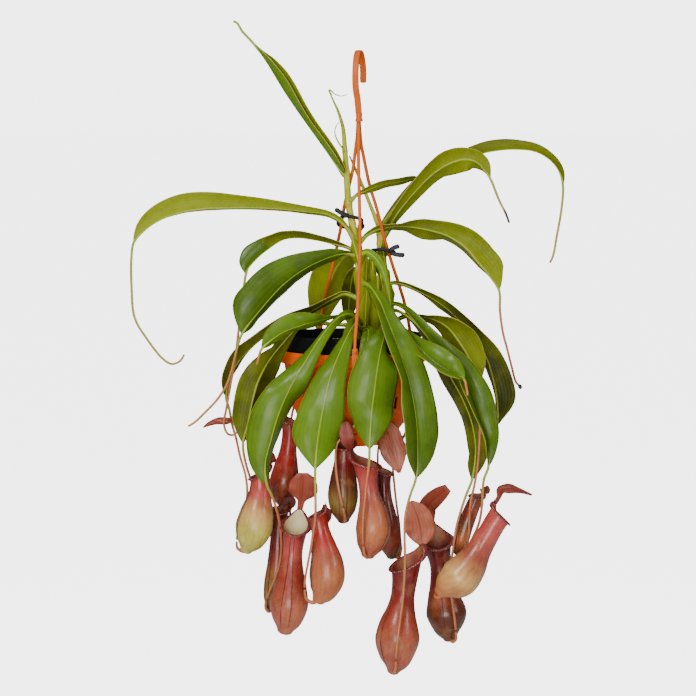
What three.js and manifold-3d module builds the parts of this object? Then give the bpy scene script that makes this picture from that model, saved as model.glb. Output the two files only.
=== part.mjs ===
// A climbing pitcher plant in a hanging pot: an orange basket on a one-piece hanger, the black
// nursery pot that stands in it, two vine stems tied to the hanger, and leaves whose midribs run
// on as tendrils with pitchers on their ends. Millimetres, +Z up, +Y away from the front, origin
// under the crown of the hook, where the whole thing hangs.
import * as THREE from 'three';
import { mergeVertices } from 'three/addons/utils/BufferGeometryUtils.js';
import Module from 'manifold-3d';

const wasm = await Module();
wasm.setup();

// ---------------------------------------------------------------- driving dimensions
const RIM_RADIUS = 73;            // outside of the basket's rim band
const RIM_TOP = -296;             // height of the rim under the hook
const RIM_BAND = 12;
const BASKET_HEIGHT = 94;
const BASKET_WALL = 2;
const FOOT_RADIUS = 35;
const WALL_SLOTS = 12;
const FOOT_SLOTS = 8;
const POT_RADIUS = 69;            // the nursery pot's collar stands on the basket's rim
const POT_COLLAR = 15.5;
const POT_WALL = 1.6;
const POT_DEPTH = 82.6;            // below the collar
const COMPOST_DROP = 13;          // from the pot's lip to the compost
const GAP = 0.3;                  // between pieces that touch

const STRAP_WIDTH = 6.4;          // the hook's flat strap
const STRAP_THICK = 3.2;
const ARM_RADIUS = 1.7;
const TIE_WIDTH = 3;
const TIE_THICK = 1.4;

const BLADE_RINGS = 8;
const LID_RINGS = 5;
const RIB_HALF = 0.8;             // half thickness of a blade at its midrib
const EDGE_HALF = 0.32;
const STALK_HALF = 1.5;           // half thickness of a leaf's stalk
const TENDRIL_RADIUS = 1.15;
const PITCHER_SIDES = 8;
const PITCHER_WALL = 1.3;

// ---------------------------------------------------------------- front elevation
// Every route is a list of hand-set points [across, down, depth] on a front elevation drawn at
// full size on a 696 mm sheet, with depth measured away from the front. The sheet is drawn as
// the plant is seen from VIEW_DISTANCE in front and VIEW_TILT above, so seen() undoes that view.
const HOOK_ON_SHEET = [358, 53];
const SHEET_CENTRE = [348, 348];
const POT_ON_SHEET = 352;         // the pot's axis
const VIEW_DISTANCE = 2600;
const VIEW_TILT = THREE.MathUtils.degToRad(5);

function seen(across, down, depth) {
  const centreX = SHEET_CENTRE[0] - HOOK_ON_SHEET[0];
  const centreZ = HOOK_ON_SHEET[1] - SHEET_CENTRE[1];
  const u = across - SHEET_CENTRE[0];
  const v = SHEET_CENTRE[1] - down;
  const [sin, cos] = [Math.sin(VIEW_TILT), Math.cos(VIEW_TILT)];
  const reach = (depth + VIEW_DISTANCE * cos) / (VIEW_DISTANCE * cos + v * sin);
  const eye = centreZ + VIEW_DISTANCE * sin;
  return new THREE.Vector3(centreX + reach * u, depth, eye + reach * (v * cos - VIEW_DISTANCE * sin));
}

const route = (points) => points.map(([across, down, depth]) => seen(across, down, depth));
const through = (points) => new THREE.CatmullRomCurve3(points, false, 'centripetal');
const POT_CENTRE = new THREE.Vector3(POT_ON_SHEET - HOOK_ON_SHEET[0], 0, 0);

// ---------------------------------------------------------------- solids
function toSolid(geometry) {
  for (const name of ['normal', 'uv']) geometry.deleteAttribute(name);
  const merged = mergeVertices(geometry, 1e-4);
  const indices = Uint32Array.from(merged.index.array);
  const vertices = Float32Array.from(merged.attributes.position.array);
  if (enclosed(vertices, indices) < 0) {
    for (let i = 0; i < indices.length; i += 3) [indices[i], indices[i + 1]] = [indices[i + 1], indices[i]];
  }
  return new wasm.Manifold(new wasm.Mesh({ numProp: 3, vertProperties: vertices, triVerts: indices }));
}

// Signed volume inside a closed mesh: negative where its faces point in.
function enclosed(vertices, indices) {
  const corner = (i) => new THREE.Vector3().fromArray(vertices, indices[i] * 3);
  let sum = 0;
  for (let i = 0; i < indices.length; i += 3) {
    sum += corner(i).dot(corner(i + 1).cross(corner(i + 2)));
  }
  return sum / 6;
}

const joined = (solids) => solids.reduce((whole, piece) => whole.add(piece));

// The largest body of a solid, where trimming has left crumbs beside it.
function largest(solid) {
  return solid.decompose().sort((a, b) => b.volume() - a.volume())[0];
}

function finish(colour, roughness = 0.5) {
  return new THREE.MeshStandardMaterial({ color: colour, roughness, metalness: 0 });
}

const object = new THREE.Group();
const solids = {};

function addPart(name, solid, material) {
  solids[name] = solid;
  const { vertProperties, triVerts } = solid.getMesh();
  const geometry = new THREE.BufferGeometry();
  geometry.setAttribute('position', new THREE.BufferAttribute(Float32Array.from(vertProperties), 3));
  geometry.setIndex(new THREE.BufferAttribute(Uint32Array.from(triVerts), 1));
  geometry.computeVertexNormals();
  const mesh = new THREE.Mesh(geometry, material);
  mesh.name = name;
  object.add(mesh);
}

// A closed cylinder reshaped ring by ring: place(step, side, out) gives each vertex its place,
// with step 0..1 along it, side 0..1 round it, and out 0 at the middle of an end cap.
function reshaped(sides, steps, place) {
  const geometry = new THREE.CylinderGeometry(1, 1, 1, sides, steps);
  const position = geometry.attributes.position;
  const point = new THREE.Vector3();
  for (let i = 0; i < position.count; i++) {
    point.fromBufferAttribute(position, i);
    const out = Math.min(1, Math.round(Math.hypot(point.x, point.z)));
    const side = (Math.atan2(point.x, point.z) / (2 * Math.PI) + 1) % 1;
    position.setXYZ(i, ...place(0.5 - point.y, side, out).toArray());
  }
  return toSolid(geometry);
}

// A round rod along a curve; radius is a number or a function of 0..1 along it.
function rod(curve, radius, sides = 8, steps = 16) {
  const frames = curve.computeFrenetFrames(steps);
  return reshaped(sides, steps, (step, side, out) => {
    const i = Math.round(step * steps);
    const size = out * (typeof radius === 'function' ? radius(step) : radius);
    const angle = side * 2 * Math.PI;
    return curve.getPointAt(step)
      .addScaledVector(frames.normals[i], size * Math.cos(angle))
      .addScaledVector(frames.binormals[i], size * Math.sin(angle));
  });
}

// A value along 0..1 through evenly spaced keys.
function keyed(keys, share) {
  const at = Math.min(Math.max(share, 0), 1) * (keys.length - 1);
  const low = Math.min(Math.floor(at), keys.length - 2);
  return THREE.MathUtils.lerp(keys[low], keys[low + 1], at - low);
}

// A flat strap along a curve, width laid along one fixed direction.
function strap(curve, widthway, width, thick, steps = 20) {
  return reshaped(4, steps, (step, side, out) => {
    const along = curve.getTangentAt(step);
    const face = new THREE.Vector3().crossVectors(along, widthway).normalize();
    const wide = new THREE.Vector3().crossVectors(face, along);
    const corner = Math.round(side * 4) % 4;
    return curve.getPointAt(step)
      .addScaledVector(wide, out * (corner < 2 ? 0.5 : -0.5) * width)
      .addScaledVector(face, out * (corner === 0 || corner === 3 ? 0.5 : -0.5) * thick);
  });
}

// A ring with the given half profile, each point [radius, height], on the pot's axis.
function turned(profile, sides = 32) {
  const points = [...profile, profile[0]].map(([radius, height]) => new THREE.Vector2(radius, height));
  const geometry = new THREE.LatheGeometry(points, sides);
  geometry.rotateX(Math.PI / 2).translate(POT_CENTRE.x, POT_CENTRE.y, POT_CENTRE.z);
  return toSolid(geometry);
}

// A box set round the pot's axis: radial span, height span, width, and its bearing.
function boxRound(inner, outer, bottom, top, width, bearing) {
  const geometry = new THREE.BoxGeometry(outer - inner, width, top - bottom);
  geometry.translate((inner + outer) / 2, 0, (bottom + top) / 2).rotateZ(bearing);
  return toSolid(geometry.translate(POT_CENTRE.x, POT_CENTRE.y, POT_CENTRE.z));
}

// ---------------------------------------------------------------- basket, nursery pot, compost
const ORANGE = finish('#d8651c', 0.4);
const BLACK = finish('#161514', 0.55);
const SOIL = finish('#3a2a1c', 0.95);
const BASE = RIM_TOP - BASKET_HEIGHT;

function basket() {
  const inner = RIM_RADIUS - BASKET_WALL;
  const wall = [
    [RIM_RADIUS - 5, RIM_TOP - RIM_BAND], [57.5, RIM_TOP - 60], [52.5, RIM_TOP - 73], [45, RIM_TOP - 83],
  ];
  const outside = [
    [RIM_RADIUS, RIM_TOP], [RIM_RADIUS, RIM_TOP - RIM_BAND], ...wall,
    [FOOT_RADIUS, BASE + 8], [FOOT_RADIUS, BASE],
  ];
  const inside = [
    [FOOT_RADIUS - BASKET_WALL, BASE], [FOOT_RADIUS - BASKET_WALL, BASE + 6], [20, BASE + 6], [20, BASE + 8],
    [FOOT_RADIUS - 3, BASE + 8.6],
    ...wall.map(([radius, height]) => [radius - BASKET_WALL, height + 1.4]).reverse(),
    [inner - 4, RIM_TOP - RIM_BAND + 2], [inner - 4, RIM_TOP - BASKET_WALL - 2], [inner - 4, RIM_TOP],
  ];
  const slots = [];
  for (let i = 0; i < WALL_SLOTS; i++) {
    slots.push(boxRound(40, 80, RIM_TOP - 56, RIM_TOP - 44, 2.4, ((i + 0.5) / WALL_SLOTS) * 2 * Math.PI));
  }
  for (let i = 0; i < FOOT_SLOTS; i++) {
    const bearing = (i / FOOT_SLOTS) * 2 * Math.PI - Math.PI / 2;
    slots.push(boxRound(34, 60, RIM_TOP - 82, RIM_TOP - 79.4, 9, bearing));
  }
  return turned([...outside, ...inside]).subtract(joined(slots));
}

function nurseryPot() {
  const ledge = RIM_TOP + GAP;
  const lip = ledge + POT_COLLAR;
  const bottom = ledge - POT_DEPTH + 1;
  const outside = [[POT_RADIUS, lip], [POT_RADIUS, ledge], [63.5, ledge], [42, bottom]];
  const inside = [[3, bottom], [3, bottom + POT_WALL], [42 - POT_WALL, bottom + POT_WALL],
    [63.5 - POT_WALL, ledge + 1], [POT_RADIUS - POT_WALL, ledge + 3], [POT_RADIUS - POT_WALL, lip]];
  return turned([...outside, ...inside]);
}

function compost() {
  const ledge = RIM_TOP + GAP;
  const top = ledge + POT_COLLAR - COMPOST_DROP;
  const bottom = ledge - POT_DEPTH + 1 + POT_WALL + GAP;
  const skin = POT_WALL + GAP + 0.3;
  const profile = [[0, bottom], [42 - skin, bottom], [63.5 - skin, ledge], [64.2 - skin, top], [0, top + 3]];
  return turned(profile, 24);
}

// ---------------------------------------------------------------- hanger
const CLIP_TOP = RIM_TOP + 6.5;
const CLIPS = [-88, 116.6, 35.4].map((degrees) => THREE.MathUtils.degToRad(degrees));
const UP = new THREE.Vector3(0, 0, 1);

function hanger() {
  const hook = through(route([
    [359, 117, 0], [357.6, 100, -5], [355.8, 88, -9.5], [355.4, 76, -11.5], [355.9, 64, -10],
    [357, 55, -5], [358.7, 51.5, 1], [360.8, 54, 9], [362.4, 62, 14.5], [363.2, 72, 16.5], [363, 80.5, 16.2],
  ]));
  const hookSide = new THREE.Vector3(Math.cos(0.26), -Math.sin(0.26), 0);
  const collarTop = seen(359, 113, 0);
  const collar = toSolid(new THREE.CylinderGeometry(3.3, 3.9, 8.5, 12).rotateX(Math.PI / 2)
    .translate(collarTop.x, 0, collarTop.z - 4.2));
  const arms = [
    [[358.6, 119, 0], [358.5, 163, -13], [359.3, 196, -24], [360, 240, -38], [359, 274, -49],
      [357.5, 309, -61], [355, 341, -72]],
    [[358.4, 119, 0], [357, 138, 6], [355, 153, 10.5], [353, 169, 15], [345, 203, 25], [340.5, 229, 33],
      [334, 260, 43], [326.5, 292, 54], [321.9, 320, 64.5]],
    [[358.8, 119, 0], [361, 143, 3.7], [363.5, 156, 6], [369.6, 185, 11], [376.6, 208, 15], [383.5, 235, 20],
      [391.2, 261, 26], [398.8, 284, 31], [405, 305, 35.5], [410, 331, 43]],
  ].map((points, i) => {
    const foot = new THREE.Vector3(
      POT_CENTRE.x + 74 * Math.cos(CLIPS[i]), 74 * Math.sin(CLIPS[i]), CLIP_TOP - 1.5,
    );
    return rod(through([...route(points), foot]), ARM_RADIUS, 6, 10);
  });
  const clips = CLIPS.flatMap((bearing) => [
    boxRound(POT_RADIUS + 0.6, RIM_RADIUS + 3.4, RIM_TOP + GAP, CLIP_TOP, 6, bearing),
    boxRound(RIM_RADIUS + GAP, RIM_RADIUS + 3.4, RIM_TOP - 14, CLIP_TOP, 6, bearing),
  ]);
  return joined([strap(hook, hookSide, STRAP_WIDTH, STRAP_THICK, 18), collar, ...arms, ...clips]);
}

// ---------------------------------------------------------------- stems
const STEM_GREEN = finish('#a3a63c');

const STEMS = {
  stem_1: {
    points: [[362, 366, -6], [362, 330, -4], [362, 290, 0], [361, 267, 4], [358, 250, 8], [354, 231, 11],
      [350.5, 215, 12.5], [348.2, 200, 12.5], [346.7, 174, 12.5], [345, 152, 12], [343, 128, 11],
      [338, 111, 10], [333, 100, 9], [329, 90.5, 8]],
    radii: [4, 4, 4, 4, 3.8, 3.6, 3.5, 3.4, 3.2, 2.6, 2, 1.4, 1, 0.7],
    shoots: [
      [[332, 96, 8.5], [329, 90.2, 8], [331.5, 91, 7], [334, 93.5, 6], [340.5, 96, 4], [349, 94, 2]],
      [[345, 154, 11], [342.8, 149, 8], [336.7, 139, 5], [334.8, 132, 4], [336.7, 125, 4], [340.5, 121.5, 5]],
    ],
  },
  stem_2: {
    points: [[389, 366, 4], [389, 330, 7], [388, 305, 14], [386, 290, 18], [383.5, 272, 23], [381, 258, 27],
      [380.4, 246, 30.5], [380, 236, 34], [378, 225, 35], [371, 207, 34], [363, 187, 33], [355, 168, 32],
      [349, 155, 31]],
    radii: [4.4, 4.4, 4.4, 4.4, 4.2, 4, 3.8, 3.6, 2.6, 2, 1.8, 1.4, 0.8],
    shoots: [],
  },
};

function stem({ points, radii, shoots }, extra = 0) {
  const places = route(points);
  places[0].z -= extra;
  const curve = through(places);
  const lengths = curve.getLengths(200);
  const total = lengths[200];
  const radius = (share) => {
    const t = lengths.findIndex((length) => length >= share * total * 0.99999) / 200;
    return keyed(radii, t) + extra;
  };
  const twigs = shoots.map((twig) => rod(through(route(twig)), 0.55 + extra, 5, 7));
  return joined([rod(curve, radius, 7, 18), ...twigs]);
}

// ---------------------------------------------------------------- leaves
const DEPTHWISE = new THREE.Vector3(0, 1, 0);
const smooth = THREE.MathUtils.smoothstep;

// Half width of a blade at a share 0..1 of its length: it widens from start and is widest at peak.
function outline(share, start, peak) {
  if (share < peak) return Math.sin((Math.PI / 2) * Math.max(0, (share - start) / (peak - start))) ** 1.4;
  return Math.max(0, Math.cos((Math.PI / 2) * ((share - peak) / (1 - peak)) ** 1.5)) ** 0.9;
}

// A blade along its rib, running on as a round tendril. left and right key how far each half is
// turned out of the elevation, in degrees: 0 lies in it, plus brings the edge forward. Left and
// right are those of someone following the rib from the stem, seen from the front.
function blade(spec, rings = BLADE_RINGS, thin = 1) {
  const { rib, tendril = [], half, start = 0.04, peak = 0.55, left = [0, 0], right = [0, 0] } = spec;
  const curve = through([...rib, ...tendril]);
  const tip = (rib.length - 1) / (rib.length + tendril.length - 1);
  const runs = Math.round(tendril.length * 1.4);
  return reshaped(6, rings + runs, (step, side, out) => {
    const ring = Math.round(step * (rings + runs));
    const share = Math.min(1, ring / rings);
    const t = ring <= rings ? tip * share : tip + ((1 - tip) * (ring - rings)) / runs;
    const along = curve.getTangent(t);
    const across = new THREE.Vector3().crossVectors(along, DEPTHWISE).normalize();
    const front = new THREE.Vector3().crossVectors(along, across);
    const half3 = (degrees, sign) => {
      const turn = THREE.MathUtils.degToRad(degrees);
      return {
        out: across.clone().multiplyScalar(sign * Math.cos(turn)).addScaledVector(front, Math.sin(turn)),
        face: across.clone().multiplyScalar(-sign * Math.sin(turn)).addScaledVector(front, Math.cos(turn)),
      };
    };
    const ends = ring > rings ? [0, 0] : [keyed(left, share), keyed(right, share)];
    const [leftHalf, rightHalf] = [half3(ends[0], 1), half3(ends[1], -1)];
    const middle = leftHalf.face.clone().add(rightHalf.face).normalize();
    const stalky = 1 - smooth(share, 0.06, 0.3);
    const tippy = runs ? smooth(share, 0.86, 1) : 0;
    const round = stalky * STALK_HALF + (tippy + (1 - stalky - tippy)) * TENDRIL_RADIUS;
    const blend = Math.max(stalky, tippy);
    const ribHalf = thin * THREE.MathUtils.lerp(RIB_HALF, round, blend);
    const edgeHalf = thin * THREE.MathUtils.lerp(EDGE_HALF, round * 0.5, blend);
    const least = thin * (runs || share < 0.5 ? round * 0.87 : 0.5);
    const width = Math.max(half * outline(share, start, peak), least);
    const place = curve.getPoint(t);
    if (!out) return place;
    const corner = Math.round(side * 6) % 6;
    if (corner === 0) return place.addScaledVector(middle, ribHalf);
    if (corner === 3) return place.addScaledVector(middle, -ribHalf);
    const one = corner < 3 ? leftHalf : rightHalf;
    const facing = corner === 1 || corner === 5 ? 1 : -1;
    return place.addScaledVector(one.out, width).addScaledVector(one.face, facing * edgeHalf);
  });
}

const LEAF = finish('#5c7a12', 0.4);

// Each leaf starts at its stem's middle and is trimmed to the stem's outside.
const LEAVES = {
  // upper left, folded, standing up
  leaf_01: {
    stem: 'stem_1', half: 14, peak: 0.56, left: [110, 118, 125, 130], right: [60, 35, 20, 30],
    rib: [[346.5, 178, 12.5], [333, 160, 9], [311, 130, 6], [286, 94, 4], [267, 63, 4], [253, 43, 5]],
    tendril: [[242, 31, 6], [237, 23, 6], [232.5, 21, 5]],
  },
  // the long one to the left and its hanging tendril
  leaf_02: {
    stem: 'stem_1', half: 17.5, peak: 0.6, left: [-60, -84, -84, -100], right: [30, 20, 10, 0],
    rib: [[357, 246, 9], [348, 230, 3], [339, 220.5, 0], [327, 214.5, -1], [305, 211.5, -3], [270, 208.5, -5],
      [235, 208, -7], [205, 209, -9], [180, 213, -11], [158, 221.5, -13], [143, 232, -14], [134, 242, -14]],
    tendril: [[131.5, 256, -14], [131.5, 286, -14], [134.7, 318, -14], [147, 339, -14], [163, 359, -13],
      [172, 364, -12], [180, 361, -11], [185, 353, -10]],
  },
  leaf_03: {
    stem: 'stem_1', half: 18, peak: 0.66, left: [-60, -100, -100, -95], right: [55, 55, 50, 5, 0],
    rib: [[358, 251, 8], [347, 247.5, 10], [333, 244, 11], [317, 240.5, 12], [297, 238, 14], [283, 240, 16],
      [270, 248, 17], [257, 258, 17], [249, 267, 16], [246, 274, 15]],
    tendril: [[243.5, 290, 12], [241, 312, 7], [238.5, 331, 2], [235, 361, -4], [231, 382, -7],
      [226.5, 408, -8], [224, 424, -6], [227.5, 433.5, -4], [233, 435, -2], [238.5, 430, 0], [239, 423, 2],
      [235, 419.5, 3]],
  },
  leaf_04: {
    stem: 'stem_1', half: 28, peak: 0.68, left: [-50, -66, -68, -60], right: [40, 15, 5, 5],
    rib: [[357.5, 256, 7], [346, 253.5, 2], [333, 256, -3], [308, 267, -9], [284, 284, -13], [262, 308, -15],
      [242, 334, -14]],
    tendril: [[238.5, 343, -14], [234, 361, -15], [230, 376, -16], [225, 388, -16], [216, 401, -16],
      [205.5, 412, -16], [195, 422, -16], [187, 427, -16]],
  },
  // behind, hanging down the back of the pot
  leaf_05: {
    stem: 'stem_1', half: 22, start: 0.15, peak: 0.55, left: [-40, -35, -30], right: [0, 0, 0],
    rib: [[358.5, 254, 8], [351, 254, 27], [343, 259, 47], [335, 271, 62], [328, 289, 70], [323, 306, 74],
      [317, 330, 78]],
    tendril: [[311, 350, 83], [301, 382, 79], [291, 420, 62], [289, 460, 44], [290, 510, 24], [292, 570, 4],
      [292, 606, -14], [290, 621, -26]],
  },
  // lower left
  leaf_06: {
    stem: 'stem_1', half: 14, peak: 0.6, left: [-55, -60, -60], right: [55, 55, 60],
    rib: [[361.5, 300, -1], [345, 294, 3], [331, 300, 7], [312, 311, 10], [285, 323, 13], [256, 344, 15],
      [239, 361, 16], [230, 379, 16], [226, 397, 15]],
    tendril: [[229, 408, 14], [232, 424, 12], [236, 438, 6], [240, 456, -12], [246, 478, -30],
      [247, 497, -33], [242, 516, -29], [238, 531, -33], [236.5, 541, -42]],
  },
  leaf_07: {
    stem: 'stem_1', half: 15, peak: 0.55, left: [-30, -45, -40], right: [10, 5, 10],
    rib: [[361.8, 316, -4], [345, 315, -22], [328, 318.5, -44], [304, 324.5, -63], [282, 333, -70],
      [262, 348.5, -71]],
    tendril: [[259, 356, -71], [256.5, 366, -70]],
  },
  leaf_08: {
    stem: 'stem_1', half: 18, peak: 0.7, left: [-30, -40, -40], right: [10, 0, 0],
    rib: [[361.8, 324, -4], [340, 325, -12], [312, 323, -35], [298, 327, -56], [284, 342, -57],
      [270, 359, -56], [259, 380, -49], [253, 400, -49], [248, 424, -48], [243, 443, -45]],
    tendril: [[245, 460, -38], [251, 480, -27], [257, 494, -15], [265, 503, -7]],
  },
  leaf_09: {
    stem: 'stem_1', half: 26, start: 0.15, peak: 0.7,
    left: [10, 5, -10, -62, -60], right: [-5, -5, -5, -10, -10],
    rib: [[362, 327, -4], [352, 315, -26], [338, 318, -55], [323, 334, -76], [306, 360, -76], [291, 386, -79],
      [279, 413, -81], [271, 440, -82], [265, 465, -81], [267, 485, -79]],
    tendril: [[272, 496, -73], [278, 515, -62], [281, 535, -50], [281, 555, -40], [277, 573, -39],
      [270, 590, -37], [266, 600, -33]],
  },
  leaf_10: {
    stem: 'stem_1', half: 26, start: 0.2, peak: 0.8, left: [-5, -8, -8, -5], right: [-5, -8, -8, -5],
    rib: [[362, 332, -4], [356.5, 324, -30], [352, 328, -59], [346.5, 338, -76], [340, 352, -81],
      [333, 369, -86], [327, 389, -88], [322.5, 411, -88], [318, 438, -87], [315.2, 469, -86]],
    tendril: [[315.4, 492, -86], [315.4, 516, -86], [313.3, 532, -84], [310.8, 548, -82], [307.6, 565, -79],
      [305, 580, -76], [304.6, 589, -73]],
  },
  // centre front
  leaf_11: {
    stem: 'stem_2', half: 25, start: 0.2, peak: 0.62, left: [-5, -8, -8, -5], right: [-5, -8, -8, -5],
    rib: [[389, 329, 6], [388, 321, -18], [386.5, 324, -40], [384.6, 335, -69], [380.5, 351, -83],
      [377, 371, -88], [374, 394, -89], [371, 418, -89], [369.6, 449, -88]],
    tendril: [[369, 464, -91], [367, 479, -91], [364.7, 501, -93], [363, 519, -95], [362.6, 536, -93],
      [363.3, 546, -88]],
  },
  leaf_12: {
    stem: 'stem_1', half: 24, start: 0.1, peak: 0.74, left: [0, 0, 0, 0], right: [30, 50, 58, 55],
    rib: [[361.5, 283, 1], [369, 286, -18], [379.5, 301, -42], [387.5, 321, -63], [395, 340, -78],
      [402, 360, -86], [408.5, 380, -90], [413, 400, -92], [416, 421, -93], [417.5, 448, -92],
      [416, 478, -90]],
    tendril: [[411, 493, -95], [408, 503, -97], [405, 518, -99], [404.6, 537, -100], [405, 556, -99],
      [404.5, 576, -97], [403, 597, -97], [400, 621, -103], [397, 645, -104], [396, 661, -98]],
  },
  // right
  leaf_13: {
    stem: 'stem_2', half: 17, start: 0.42, peak: 0.72, left: [20, 5, 0], right: [60, 70, 70],
    rib: [[388.5, 318, 10], [396, 321, -24], [408, 333, -54], [422, 351, -72], [437, 365, -82],
      [451, 373, -88], [464, 379.5, -90]],
    tendril: [[466.5, 388, -93], [468, 397, -94]],
  },
  leaf_14: {
    stem: 'stem_2', half: 18, start: 0.2, peak: 0.7, left: [-20, -25, -20], right: [0, -10, -10],
    rib: [[388, 312, 12], [398, 311, -12], [414, 322, -27], [434, 347, -38], [450, 376, -46], [463, 400, -52],
      [472, 424, -58], [475.5, 450, -61], [472, 480, -64]],
    tendril: [[466.5, 494, -66], [460.5, 512, -67], [456, 529, -67], [453.5, 546, -67], [451, 565, -67],
      [450.5, 585, -69], [452, 602, -71], [454.5, 618, -72], [456, 632, -67]],
  },
  leaf_15: {
    stem: 'stem_2', half: 21, start: 0.15, peak: 0.7, left: [40, 15, 5, 0], right: [60, 80, 85, 70],
    rib: [[388.2, 305, 14], [397, 304.5, -14], [408, 312.5, -32], [424, 330, -44], [442, 350, -53],
      [457, 369, -60], [468, 394, -68], [476, 417, -76], [485, 441, -80], [488.5, 466, -81]],
    tendril: [[483.8, 480, -80], [482, 505, -78], [479, 523, -75], [471, 541, -71], [462, 557, -70],
      [452, 572, -71], [442, 585, -77], [437, 592.5, -86]],
  },
  leaf_16: {
    stem: 'stem_2', half: 19, start: 0.15, peak: 0.62, left: [20, 8, 5, 0], right: [-30, -42, -50, -50],
    rib: [[388.8, 324, 8], [397, 320, -4], [409, 315.5, -12], [422, 317, -20], [435, 320, -26],
      [448, 328, -31], [458, 341, -35], [467, 355, -38], [475, 368, -42], [480, 380, -46]],
    tendril: [[481, 400, -60], [480, 430, -69], [478, 462, -71], [474.5, 485, -71], [471, 500, -70],
      [469.5, 517, -69], [469, 531, -67], [466, 545, -62]],
  },
  leaf_17: {
    stem: 'stem_2', half: 22, peak: 0.72, left: [60, 58, 45, 10, 0], right: [-60, -85, -85, -80],
    rib: [[385.2, 285, 19], [393, 283, 14], [403, 284.5, 10], [420, 292, 5], [440, 303.5, 1], [458, 319, -2],
      [474, 337, -5], [486, 357, -7], [493, 380, -9], [497, 402, -9], [498.5, 424, -7]],
  },
  leaf_18: {
    stem: 'stem_1', half: 19, start: 0.22, peak: 0.64, left: [30, 30, 20, 5, 0], right: [-60, -60, -65, -85],
    rib: [[357, 246, 9], [365, 237, 16], [374, 231.3, 22.6], [384, 228, 23.4], [396, 226.5, 22],
      [414, 227.5, 18], [432, 231, 16], [448, 236.5, 13], [464, 247, 11], [479, 264, 10], [490, 277, 9],
      [499, 290, 8]],
    tendril: [[500, 311, 8], [503, 333, 8], [507, 348, 8], [511.5, 366, 7], [516, 382, 6], [520, 386.5, 5]],
  },
  leaf_19: {
    stem: 'stem_2', half: 17, peak: 0.52, left: [25, 25, 20, 10, 0], right: [-40, -50, -55, -75, -80],
    rib: [[380.4, 247, 30.5], [387, 231, 38], [397, 214, 36], [415, 192, 33], [432, 175, 31], [449, 164, 31],
      [464, 159.5, 30], [475, 161.5, 29], [483, 168.5, 29], [490, 178, 29]],
    tendril: [[499, 200, 29], [506, 214, 29], [510, 225, 29]],
  },
  leaf_20: {
    stem: 'stem_2', half: 15, peak: 0.6, left: [-30, -42, -45, -45], right: [-100, -100, -100, -100],
    rib: [[379.5, 233, 34], [385, 221, 48], [409, 191, 53], [432, 172, 54], [455, 160, 52], [472, 156, 50],
      [492, 151.5, 48], [514, 149.5, 46], [536, 152, 44], [551, 161, 43], [560, 173.5, 42], [563, 186, 41]],
    tendril: [[561.5, 209, 41], [557, 235, 41], [553, 256, 40], [549, 264.5, 39]],
  },
  leaf_21: {
    stem: 'stem_1', half: 7, peak: 0.6, left: [40, 50, 55], right: [-40, -50, -55],
    rib: [[348.4, 203, 12.5], [357, 195, 8], [365, 191.3, 6], [374, 187.7, 6], [386, 184, 15],
      [400, 181.5, 28], [413, 178.5, 40], [420, 177, 43]],
  },
  // behind and between the others
  leaf_22: {
    stem: 'stem_1', half: 9, peak: 0.5, left: [0, 0], right: [0, 0],
    rib: [[360.5, 265, 4], [354, 272, 22], [350.5, 288, 40], [349, 306, 52], [348, 324, 58]],
  },
  leaf_23: {
    stem: 'stem_1', half: 7, peak: 0.5, left: [0, 0], right: [0, 0],
    rib: [[362, 336, -4], [366, 329, -28], [368.5, 331, -55], [367.5, 341, -74], [365, 362, -79],
      [363, 385, -79], [361, 405, -76], [358.5, 418, -72]],
    tendril: [[353, 428, -70], [345, 436, -72], [337.5, 443, -73], [335.5, 456, -74], [336.7, 476, -75],
      [339.5, 493, -77], [343, 508, -75.5]],
  },
  leaf_24: {
    stem: 'stem_1', half: 8, start: 0.6, peak: 0.82, left: [0, 0], right: [0, 0],
    rib: [[358.5, 257, 7], [367, 252.5, 0], [375, 258, -6], [381.5, 267, -13], [386, 281, -22],
      [389.5, 298, -32], [393, 317, -42], [398, 333, -56], [404, 350, -62], [409, 370, -62],
      [412, 395, -59], [411, 414, -54]],
    tendril: [[407, 429, -45], [401, 442, -38], [395, 456, -32], [393, 468, -30], [394.3, 484, -31],
      [396.3, 503, -33], [399, 522, -34], [400.5, 541, -37]],
  },
};

const clearOf = (name) => stem(STEMS[name], GAP);

function leaf({ stem: holder, rib, tendril = [], ...shape }) {
  const whole = blade({ ...shape, rib: route(rib), tendril: route(tendril) });
  return largest(whole.subtract(clearances[holder]));
}

// ---------------------------------------------------------------- pitchers
const PITCHER = finish('#9a4a2c', 0.35);
const TAIL_STEPS = 6;
const LID_THIN = 0.7;

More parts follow.
